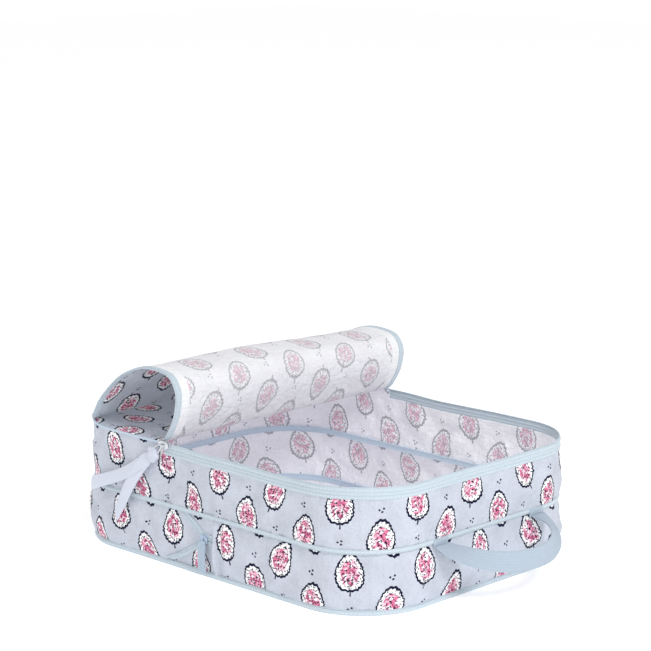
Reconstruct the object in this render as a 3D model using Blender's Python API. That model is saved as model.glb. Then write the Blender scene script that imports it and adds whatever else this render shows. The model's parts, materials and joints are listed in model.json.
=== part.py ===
"""Expandable packing cube with its zipped lid rolled back.

Metres, +Z up.  The origin is the centre of the base's underside, +X points to the
handle end, the lid is hinged towards -X, and both zip sliders are on the -Y side.
The lower tier is a gusset that the upper tier telescopes over when the expansion
zip is closed.  The lid is a chain of cloth strips, so that it can unroll flat.
"""
import math

import bmesh
import bpy
from mathutils import Vector

# ---------------------------------------------------------------- driving sizes
LENGTH = 0.367            # along X, handle end to hinge end
WIDTH = 0.280             # along Y
CORNER_RADIUS = 0.064     # plan radius of the four corners
SEAM_HEIGHT = 0.0520      # height of the seam between the two tiers, expanded
RIM_HEIGHT = 0.1060       # top of the rim, expanded
FOLD_X = -0.0500          # where the lid's zip ends and the lid folds back
WALL = 0.0012             # thickness of a sewn cloth wall
GAP = 0.0003              # clearance between touching pieces

BASE_TAPE_HEIGHT = 0.0050     # lower half of the expansion zip's tape
COIL_SIZE = 0.0010            # height of every zip coil
SEAM_TAPE_HEIGHT = 0.0040     # upper half of the expansion zip's tape
RIM_TAPE_HEIGHT = 0.0085      # wall half of the lid zip's tape
BINDING_WIDTH = 0.0055        # inside seam bindings
BINDING_THICKNESS = 0.0014

LID_THICKNESS = 0.0010
LID_TAPE_WIDTH = 0.0100
HINGE_RELIEF = 0.0004         # each strip stops this far short of its fold line
# Share of the lid's length in each strip, and the direction it lies in while the
# lid is rolled back, as an angle from +X towards +Z.  The last two strips' own
# directions follow: one comes down to the rear top panel and one lies on it.
LID_SHARES = (0.1113, 0.0942, 0.0771, 0.1456, 0.1456, 0.1456, 0.1328, 0.1478)
LID_ROLL_DIRECTIONS = (59.0, 80.0, 122.0, 176.0, 203.0, 223.0)

SLIDER_LENGTH = 0.0120
SLIDER_HEIGHT = 0.0070
SLIDER_THICKNESS = 0.0045
SLIDER_BEVEL = 0.0008
SLIDER_SETBACK = 0.0015       # the parked slider's centre in front of the fold
SLIDER_RISE = 0.0025          # its top above the rim
ZIP_STOP_SIZE = 0.0036
PULL_LENGTH = 0.0110
PULL_WIDTH = 0.0048
PULL_ANGLE = 223.0            # hanging direction of the lid zip's pull
PULL_THICKNESS = 0.0012
KNOT_RADIUS = 0.0062
KNOT_FLATNESS = 0.55          # depth of the knot as a share of its width
RIBBON_WIDTH = 0.0110
RIBBON_THICKNESS = 0.0009
RIBBON_LENGTHS = (0.0790, 0.0900)
RIBBON_ANGLES = (230.5, 208.0)

EXPANSION_SLIDER_X = 0.0
EXPANSION_SLIDER_Z = 0.0320
EXPANSION_SLIDER_LENGTH = 0.0090
EXPANSION_SLIDER_THICKNESS = 0.0032
EXPANSION_PULL_LENGTH = 0.0270
EXPANSION_PULL_WIDTH = 0.0080
EXPANSION_PULL_THICKNESS = 0.0008
SPLIT_SEAM_RUN = 0.0250       # the tape halves part over these runs
SPLIT_BASE_RUN = 0.0460
SPLIT_TAPE_WIDTH = 0.0040

HANDLE_LEFT_MARGIN = 0.0135   # from a sewn end to where the corner starts to curve
HANDLE_RIGHT_MARGIN = 0.0005
HANDLE_REACH = 0.0500         # how far it stands out from the wall
HANDLE_DROOP = 16.0           # degrees below level
HANDLE_TWIST = 78.0           # degrees that the webbing stands up at mid-span
WEBBING_WIDTH = 0.0170
WEBBING_THICKNESS = 0.0016
PATCH_HEIGHT = 0.0070
PATCH_THICKNESS = 0.0012

CORNER_STEPS = 8              # straight steps in a quarter turn
WEBBING_STEPS = 20
TWIST_EASE = 0.6              # below 1, the twist is taken up near the sewn ends

# ------------------------------------------------------------- derived sizes
HALF_X = LENGTH / 2
HALF_Y = WIDTH / 2
BASE_COIL_Z = BASE_TAPE_HEIGHT + GAP
BASE_COIL_TOP = BASE_COIL_Z + COIL_SIZE
SEAM_TAPE_Z = SEAM_HEIGHT - SEAM_TAPE_HEIGHT / 2
SEAM_TAPE_TOP = SEAM_TAPE_Z + SEAM_TAPE_HEIGHT
SEAM_COIL_Z = SEAM_TAPE_Z - GAP - COIL_SIZE
RIM_COIL_Z = RIM_HEIGHT - COIL_SIZE
RIM_TAPE_TOP = RIM_COIL_Z - GAP
RIM_TAPE_Z = RIM_TAPE_TOP - RIM_TAPE_HEIGHT
GUSSET_INSET = WALL + GAP
GUSSET_BOTTOM = WALL + GAP
GUSSET_TOP = SEAM_HEIGHT
BINDING_INSET = GUSSET_INSET + WALL + GAP
LID_LENGTH = HALF_X - FOLD_X
LID_Z = RIM_HEIGHT + GAP + LID_THICKNESS / 2
LID_CORNER_START = LID_LENGTH - CORNER_RADIUS
SLIDER_FACE_Y = -(HALF_Y + GAP)
SLIDER_X = FOLD_X + SLIDER_SETBACK
SLIDER_Z = RIM_HEIGHT - SLIDER_HEIGHT / 2 + SLIDER_RISE
PULL_FACE_Y = SLIDER_FACE_Y - SLIDER_THICKNESS - GAP
FLAT_Y = HALF_Y - CORNER_RADIUS
HANDLE_LEFT_Y = -(FLAT_Y - HANDLE_LEFT_MARGIN - WEBBING_WIDTH / 2)
HANDLE_RIGHT_Y = FLAT_Y - HANDLE_RIGHT_MARGIN - WEBBING_WIDTH / 2
HANDLE_SPAN = HANDLE_RIGHT_Y - HANDLE_LEFT_Y
HANDLE_CENTRE_Y = (HANDLE_RIGHT_Y + HANDLE_LEFT_Y) / 2


# ------------------------------------------------------------------ materials
def material(name, colour, roughness, metallic=0.0):
    """A Principled material, made once and shared by name."""
    found = bpy.data.materials.get(name)
    if found:
        return found
    made = bpy.data.materials.new(name)
    made.use_nodes = True
    shader = made.node_tree.nodes["Principled BSDF"]
    shader.inputs["Base Color"].default_value = (*colour, 1.0)
    shader.inputs["Roughness"].default_value = roughness
    shader.inputs["Metallic"].default_value = metallic
    return made


def printed_cloth():
    return material("printed_cloth", (0.66, 0.69, 0.82), 0.65)


def zip_tape():
    return material("zip_tape", (0.60, 0.72, 0.82), 0.8)


def zip_coil():
    return material("zip_coil", (0.66, 0.78, 0.86), 0.45)


def binding():
    return material("binding", (0.70, 0.72, 0.86), 0.8)


def webbing():
    return material("webbing", (0.52, 0.62, 0.76), 0.75)


def ribbon():
    return material("ribbon", (0.72, 0.80, 0.87), 0.5)


def slider_metal():
    return material("slider_metal", (0.72, 0.71, 0.70), 0.3, 1.0)


def slider_enamel():
    return material("slider_enamel", (0.55, 0.68, 0.78), 0.4)


# -------------------------------------------------------------------- outlines
def corner_arc(centre, radius, start, end):
    """Points on an arc about centre, from start to end in degrees."""
    points = []
    for step in range(CORNER_STEPS + 1):
        angle = math.radians(start + (end - start) * step / CORNER_STEPS)
        points.append((centre[0] + radius * math.cos(angle), centre[1] + radius * math.sin(angle)))
    return points


def closed_outline(inset):
    """The cube's plan, inset evenly, anticlockwise."""
    radius = CORNER_RADIUS - inset
    x = HALF_X - CORNER_RADIUS
    y = HALF_Y - CORNER_RADIUS
    points = corner_arc((x, y), radius, 0, 90)
    points += corner_arc((-x, y), radius, 90, 180)
    points += corner_arc((-x, -y), radius, 180, 270)
    points += corner_arc((x, -y), radius, 270, 360)
    return points


def front_outline(inset, start_x):
    """The part of the plan in front of start_x, open at the back."""
    radius = CORNER_RADIUS - inset
    x = HALF_X - CORNER_RADIUS
    y = HALF_Y - CORNER_RADIUS
    points = [(start_x, -(HALF_Y - inset))]
    points += corner_arc((x, -y), radius, 270, 360)
    points += corner_arc((x, y), radius, 0, 90)
    points.append((start_x, HALF_Y - inset))
    return points


def rear_outline(inset, start_x):
    """The part of the plan behind start_x, open at the front."""
    radius = CORNER_RADIUS - inset
    x = HALF_X - CORNER_RADIUS
    y = HALF_Y - CORNER_RADIUS
    points = [(start_x, HALF_Y - inset)]
    points += corner_arc((-x, y), radius, 90, 180)
    points += corner_arc((-x, -y), radius, 180, 270)
    points.append((start_x, -(HALF_Y - inset)))
    return points


# ---------------------------------------------------------------- mesh helpers
def link(name, mesh, dressing, parent=None):
    """Put a finished mesh in the scene as a named sub-part."""
    item = bpy.data.objects.new(name, mesh)
    item.data.materials.append(dressing)
    bpy.context.scene.collection.objects.link(item)
    item.parent = parent
    return item


def mesh_of(name, shape):
    """Turn a bmesh into a mesh with its faces pointing out."""
    bmesh.ops.recalc_face_normals(shape, faces=shape.faces)
    mesh = bpy.data.meshes.new(name)
    shape.to_mesh(mesh)
    shape.free()
    return mesh


def joint_empty(name, place, parent=None, turn=0.0):
    """An empty on a joint's axis, turned about Y by so many degrees."""
    empty = bpy.data.objects.new(name, None)
    bpy.context.scene.collection.objects.link(empty)
    empty.parent = parent
    empty.location = place
    empty.rotation_euler = (0.0, math.radians(turn), 0.0)
    return empty


def extrude_outline(shape, corners, direction):
    """Extrude a flat face through the given corners along a direction."""
    face = shape.faces.new([shape.verts.new(corner) for corner in corners])
    grown = bmesh.ops.extrude_face_region(shape, geom=[face])
    moved = [v for v in grown["geom"] if isinstance(v, bmesh.types.BMVert)]
    bmesh.ops.translate(shape, verts=moved, vec=direction)


def plate(name, outline, bottom, height, dressing, parent=None):
    """A flat plate of even thickness over an outline."""
    shape = bmesh.new()
    extrude_outline(shape, [(x, y, bottom) for x, y in outline], (0.0, 0.0, height))
    return link(name, mesh_of(name, shape), dressing, parent)


def standing_band(name, outer, inner, closed, bottom, top, dressing, parent=None):
    """An upright band between two matching outlines."""
    if not closed:
        return plate(name, outer + inner[::-1], bottom, top - bottom, dressing, parent)
    shape = bmesh.new()
    loops = []
    for outline, level in ((outer, bottom), (outer, top), (inner, top), (inner, bottom)):
        loops.append([shape.verts.new((x, y, level)) for x, y in outline])
    count = len(outer)
    for here, there in zip(loops, loops[1:] + loops[:1]):
        for i in range(count):
            j = (i + 1) % count
            shape.faces.new((here[i], here[j], there[j], there[i]))
    return link(name, mesh_of(name, shape), dressing, parent)


def ring_band(name, inset, thickness, bottom, top, dressing, parent=None):
    """An upright band right round the plan."""
    outer = closed_outline(inset)
    inner = closed_outline(inset + thickness)
    return standing_band(name, outer, inner, True, bottom, top, dressing, parent)


def front_band(name, inset, thickness, bottom, top, dressing, parent=None):
    """An upright band round the front, between the ends of the lid's zip."""
    outer = front_outline(inset, FOLD_X + GAP / 2)
    inner = front_outline(inset + thickness, FOLD_X + GAP / 2)
    return standing_band(name, outer, inner, False, bottom, top, dressing, parent)


def rounded_block(name, centre, size, radius, dressing, parent=None):
    """A block with bevelled edges, for sliders, stops and patches."""
    shape = bmesh.new()
    bmesh.ops.create_cube(shape, size=1.0)
    bmesh.ops.scale(shape, vec=size, verts=shape.verts)
    bmesh.ops.bevel(shape, geom=list(shape.edges), offset=radius, offset_type="OFFSET",
                    segments=1, profile=0.5, affect="EDGES", material=-1)
    bmesh.ops.translate(shape, verts=shape.verts, vec=centre)
    return link(name, mesh_of(name, shape), dressing, parent)


# ------------------------------------------------------------------ lower tier
def build_base(root):
    """Base, gusset, the lower half of the expansion zip and the inside binding."""
    plate("base_panel", closed_outline(WALL + GAP), 0.0, WALL, printed_cloth(), root)
    ring_band("expansion_tape_lower", 0.0, WALL, 0.0, BASE_TAPE_HEIGHT, zip_tape(), root)
    ring_band("expansion_coil_lower", 0.0, WALL, BASE_COIL_Z, BASE_COIL_TOP, zip_coil(), root)
    ring_band("gusset", GUSSET_INSET, WALL, GUSSET_BOTTOM, GUSSET_TOP, printed_cloth(), root)
    ring_band("base_seam_binding", BINDING_INSET, BINDING_THICKNESS, GUSSET_BOTTOM,
              GUSSET_BOTTOM + BINDING_WIDTH, binding(), root)


def build_split_tape(root):
    """The two tape halves where they come together at the expansion slider."""
    half = SPLIT_TAPE_WIDTH / 2
    middle = EXPANSION_SLIDER_Z
    left = EXPANSION_SLIDER_X - EXPANSION_SLIDER_LENGTH / 2
    right = EXPANSION_SLIDER_X + EXPANSION_SLIDER_LENGTH
    upper_end = SEAM_COIL_Z - GAP
    lower_end = BASE_COIL_TOP + GAP
    upper_x = EXPANSION_SLIDER_X - SPLIT_SEAM_RUN
    lower_x = EXPANSION_SLIDER_X - SPLIT_BASE_RUN
    outline = [(right, middle - half), (right, middle + half), (left, middle + half),
               (upper_x, upper_end), (upper_x, upper_end - SPLIT_TAPE_WIDTH),
               (left - SPLIT_TAPE_WIDTH, middle),
               (lower_x, lower_end + SPLIT_TAPE_WIDTH), (lower_x, lower_end), (left, middle - half)]
    shape = bmesh.new()
    back = -(HALF_Y - GUSSET_INSET + GAP)
    extrude_outline(shape, [(x, back, z) for x, z in outline], (0.0, GAP - GUSSET_INSET, 0.0))
    link("expansion_tape_split", mesh_of("expansion_tape_split", shape), zip_tape(), root)


# ------------------------------------------------------------------ upper tier
def build_upper_tier(tier):
    """Walls, rear top panel, seam tape, rim tape and coils of the upper tier."""
    wall_z = SEAM_TAPE_TOP + GAP
    ring_band("expansion_tape_upper", 0.0, WALL, SEAM_TAPE_Z, SEAM_TAPE_TOP, zip_tape(), tier)
    ring_band("expansion_coil_upper", 0.0, WALL, SEAM_COIL_Z, SEAM_COIL_Z + COIL_SIZE, zip_coil(), tier)
    ring_band("middle_seam_binding", BINDING_INSET, BINDING_THICKNESS, SEAM_HEIGHT - BINDING_WIDTH / 2,
              SEAM_HEIGHT + BINDING_WIDTH / 2, binding(), tier)
    front_band("front_wall", 0.0, WALL, wall_z, RIM_TAPE_Z - GAP, printed_cloth(), tier)
    front_band("lid_zip_tape_wall", 0.0, WALL, RIM_TAPE_Z, RIM_TAPE_TOP, zip_tape(), tier)
    front_band("lid_zip_coil_wall", 0.0, WALL, RIM_COIL_Z, RIM_HEIGHT, zip_coil(), tier)
    outer = rear_outline(0.0, FOLD_X - GAP / 2)
    inner = rear_outline(WALL, FOLD_X - GAP / 2)
    panel_z = RIM_HEIGHT - LID_THICKNESS
    standing_band("rear_wall", outer, inner, False, wall_z, panel_z - GAP, printed_cloth(), tier)
    plate("rear_top_panel", outer, panel_z, LID_THICKNESS, printed_cloth(), tier)


def build_zip_stops(tier):
    """The two end stops of the lid's zip."""
    x = SLIDER_X - SLIDER_LENGTH / 2 - GAP - ZIP_STOP_SIZE / 4
    for name, side in (("lid_zip_stop_left", -1), ("lid_zip_stop_right", 1)):
        rounded_block(name, (x, side * (HALF_Y + GAP + WALL / 2), RIM_HEIGHT - ZIP_STOP_SIZE / 2),
                      (ZIP_STOP_SIZE / 2, WALL, ZIP_STOP_SIZE), WALL / 6, zip_coil(), tier)


# ------------------------------------------------------------------------- lid
def lid_half_width(distance, inset):
    """Half the lid's width at a distance from the fold, inset from its edge."""
    if distance <= LID_CORNER_START:
        return HALF_Y - inset
    radius = CORNER_RADIUS - inset
    run = min(distance - LID_CORNER_START, radius)
    return HALF_Y - CORNER_RADIUS + math.sqrt(max(radius * radius - run * run, 0.0))


def lid_edge(start, end, inset):
    """Points down the lid's +Y edge between two distances from the fold."""
    points = [(start, lid_half_width(start, inset))]
    if end > LID_CORNER_START:
        reach = CORNER_RADIUS - inset
        first = math.asin(min(max(start - LID_CORNER_START, 0.0) / reach, 1.0))
        last = math.asin(min((end - LID_CORNER_START) / reach, 1.0))
        for step in range(1, CORNER_STEPS + 1):
            angle = first + (last - first) * step / CORNER_STEPS
            points.append((LID_CORNER_START + reach * math.sin(angle),
                           HALF_Y - CORNER_RADIUS + reach * math.cos(angle)))
    else:
        points.append((end, lid_half_width(end, inset)))
    return points


def mirrored(points):
    """The same points on the -Y side, in the opposite order."""
    return [(x, -y) for x, y in reversed(points)]


def edge_strips(start, end, outer_inset, inner_inset, last_strip):
    """Outlines of a band along the lid's edge: two sides, or one U at the free end."""
    outer = lid_edge(start, end, outer_inset)
    inner = lid_edge(start, end, inner_inset)
    if last_strip:
        return [outer + mirrored(outer) + [(x, -y) for x, y in inner] + list(reversed(inner))]
    right = outer + list(reversed(inner))
    return [right, [(x, -y) for x, y in reversed(right)]]


def lid_directions():
    """Directions of all the strips, with the free end lying on the rear top panel."""
    rise = 0.0
    for share, direction in zip(LID_SHARES, LID_ROLL_DIRECTIONS):
        rise += share * math.sin(math.radians(direction))
    descent = 180.0 + math.degrees(math.asin(rise / LID_SHARES[-2]))
    return (*LID_ROLL_DIRECTIONS, descent, 180.0)


def build_lid(tier):
    """The lid as a chain of strips, each on its own fold line."""
    holder = joint_empty("lid_fold_line", (FOLD_X, 0.0, LID_Z), tier)
    before = 0.0
    passed = 0.0
    length = 0.0
    last = len(LID_SHARES) - 1
    for index, (share, direction) in enumerate(zip(LID_SHARES, lid_directions())):
        turn = before - direction
        holder = joint_empty(f"lid_axis_{index + 1}", (length, 0.0, 0.0), holder, turn)
        before = direction
        length = LID_LENGTH * share
        start = passed + HINGE_RELIEF
        end = LID_LENGTH if index == last else passed + length - HINGE_RELIEF
        side = lid_edge(start, end, LID_TAPE_WIDTH + GAP)
        tapes = edge_strips(start, end, 0.0, LID_TAPE_WIDTH, index == last)
        names = [f"lid_zip_tape_{index + 1}_right", f"lid_zip_tape_{index + 1}_left"]
        if index == last:
            names = [f"lid_zip_tape_{index + 1}_end"]
        pieces = [(f"lid_panel_{index + 1}", side + mirrored(side), printed_cloth())]
        pieces += [(name, outline, zip_tape()) for name, outline in zip(names, tapes)]
        for name, outline, dressing in pieces:
            shifted = [(x - passed, y) for x, y in outline]
            plate(name, shifted, -LID_THICKNESS / 2, LID_THICKNESS, dressing, holder)
        passed += length


# --------------------------------------------------------------------- sliders
def hanging_strip(name, length, width, thickness, angle, start, face_y, dressing, parent):
    """A flat strip in the plane of the wall, hanging in a given direction."""
    shape = bmesh.new()
    bmesh.ops.create_cube(shape, size=1.0)
    bmesh.ops.scale(shape, vec=(length, thickness, width), verts=shape.verts)
    bmesh.ops.translate(shape, verts=shape.verts, vec=(start + length / 2, face_y - thickness / 2, 0.0))
    item = link(name, mesh_of(name, shape), dressing, parent)
    item.rotation_euler = (0.0, -math.radians(angle), 0.0)
    return item


def build_lid_zip_slider(tier):
    """The lid zip's slider with its metal pull and the knotted ribbon on it."""
    slide = joint_empty("lid_slider_place", (SLIDER_X, 0.0, SLIDER_Z), tier)
    rounded_block("lid_zip_slider", (0.0, SLIDER_FACE_Y - SLIDER_THICKNESS / 2, 0.0),
                  (SLIDER_LENGTH, SLIDER_THICKNESS, SLIDER_HEIGHT), SLIDER_BEVEL, slider_metal(), slide)
    swing = joint_empty("lid_pull_axis", (0.0, 0.0, 0.0), slide)
    hanging_strip("lid_zip_pull", PULL_LENGTH, PULL_WIDTH, PULL_THICKNESS, PULL_ANGLE,
                  0.0, PULL_FACE_Y, slider_metal(), swing)
    reach = PULL_LENGTH + GAP + KNOT_RADIUS
    towards = math.radians(PULL_ANGLE)
    knot_shape = bmesh.new()
    bmesh.ops.create_icosphere(knot_shape, subdivisions=2, radius=KNOT_RADIUS)
    bmesh.ops.scale(knot_shape, vec=(1.0, KNOT_FLATNESS, 1.0), verts=knot_shape.verts)
    knot_y = PULL_FACE_Y - PULL_THICKNESS / 2
    knot = link("ribbon_knot", mesh_of("ribbon_knot", knot_shape), ribbon(), swing)
    knot.location = (reach * math.cos(towards), knot_y, reach * math.sin(towards))
    names = ("ribbon_tail_long", "ribbon_tail_short")
    for order, (name, length, angle) in enumerate(zip(names, RIBBON_LENGTHS, RIBBON_ANGLES)):
        root = joint_empty(f"{name}_root", knot.location, swing)
        face_y = RIBBON_THICKNESS * (1 - order) + GAP * (0.5 - order)
        hanging_strip(name, length, RIBBON_WIDTH, RIBBON_THICKNESS, angle,
                      KNOT_RADIUS + GAP, face_y, ribbon(), root)


def build_expansion_slider(root):
    """The expansion zip's slider and its cloth pull."""
    slide = joint_empty("expansion_slider_place", (EXPANSION_SLIDER_X, 0.0, EXPANSION_SLIDER_Z), root)
    back_y = SLIDER_FACE_Y - EXPANSION_SLIDER_THICKNESS
    rounded_block("expansion_slider", (0.0, (SLIDER_FACE_Y + back_y) / 2, 0.0),
                  (EXPANSION_SLIDER_LENGTH, EXPANSION_SLIDER_THICKNESS, EXPANSION_SLIDER_LENGTH),
                  SLIDER_BEVEL, slider_enamel(), slide)
    axis_y = back_y - GAP - EXPANSION_PULL_THICKNESS / 2
    swing = joint_empty("expansion_pull_axis", (0.0, axis_y, 0.0), slide)
    rounded_block("expansion_pull", (0.0, 0.0, -EXPANSION_PULL_LENGTH / 2),
                  (EXPANSION_PULL_WIDTH, EXPANSION_PULL_THICKNESS, EXPANSION_PULL_LENGTH),
                  EXPANSION_PULL_THICKNESS / 4, ribbon(), swing)


# ---------------------------------------------------------------------- handle
def handle_section(t):
    """Centre, width direction and normal of the webbing at t, from 0 to 1."""
    droop = math.radians(HANDLE_DROOP)
    out = Vector((math.cos(droop), 0.0, -math.sin(droop)))
    side = Vector((0.0, 1.0, 0.0))
    plane_normal = out.cross(side)
    angle = math.pi * t
    centre = side * (-HANDLE_SPAN / 2 * math.cos(angle)) + out * (HANDLE_REACH * math.sin(angle))
    along = (side * (HANDLE_SPAN / 2 * math.sin(angle)) + out * (HANDLE_REACH * math.cos(angle))).normalized()
    across = along.cross(plane_normal)
    roll = math.radians(HANDLE_TWIST) * math.sin(angle) ** TWIST_EASE
    width = (across * math.cos(roll) + plane_normal * math.sin(roll)).normalized()
    return centre, width, along.cross(width).normalized()


def build_handle(tier):
    """Webbing handle, twisted between its two sewn ends, and the patches over them."""
    patch_x = HALF_X + GAP
    patch_bottom = SEAM_TAPE_TOP - PATCH_HEIGHT
    for name, y in (("handle_patch_left", HANDLE_LEFT_Y), ("handle_patch_right", HANDLE_RIGHT_Y)):
        place = (patch_x + PATCH_THICKNESS / 2, y, patch_bottom + PATCH_HEIGHT / 2)
        rounded_block(name, place, (PATCH_THICKNESS, WEBBING_WIDTH, PATCH_HEIGHT),
                      PATCH_THICKNESS / 6, webbing(), tier)
    axis = joint_empty("handle_axis", (patch_x + PATCH_THICKNESS + GAP + WEBBING_THICKNESS / 2,
                                       HANDLE_CENTRE_Y, patch_bottom + WEBBING_THICKNESS), tier)
    strap = bmesh.new()
    loops = []
    for step in range(WEBBING_STEPS + 1):
        centre, width, normal = handle_section(step / WEBBING_STEPS)
        wide = width * (WEBBING_WIDTH / 2)
        thick = normal * (WEBBING_THICKNESS / 2)
        corners = (centre - wide - thick, centre + wide - thick, centre + wide + thick, centre - wide + thick)
        loops.append([strap.verts.new(corner) for corner in corners])
    for here, there in zip(loops, loops[1:]):
        for i in range(4):
            j = (i + 1) % 4
            strap.faces.new((here[i], here[j], there[j], there[i]))
    strap.faces.new(loops[0])
    strap.faces.new(loops[-1])
    link("handle_webbing", mesh_of("handle_webbing", strap), webbing(), axis)


def main():
    for item in list(bpy.data.objects):
        bpy.data.objects.remove(item)
    root = joint_empty("cube_origin", (0.0, 0.0, 0.0))
    tier = joint_empty("upper_tier_slide", (0.0, 0.0, 0.0), root)
    build_base(root)
    build_split_tape(root)
    build_upper_tier(tier)
    build_zip_stops(tier)
    build_lid(tier)
    build_lid_zip_slider(tier)
    build_expansion_slider(root)
    build_handle(tier)
    bpy.context.view_layer.update()


main()
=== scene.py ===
"""Packing cube with an expansion tier and a rolled lid: finished model, studio and camera."""

import json
import logging
import math
from dataclasses import dataclass
from enum import Enum
from typing import Callable, Sequence

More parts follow.
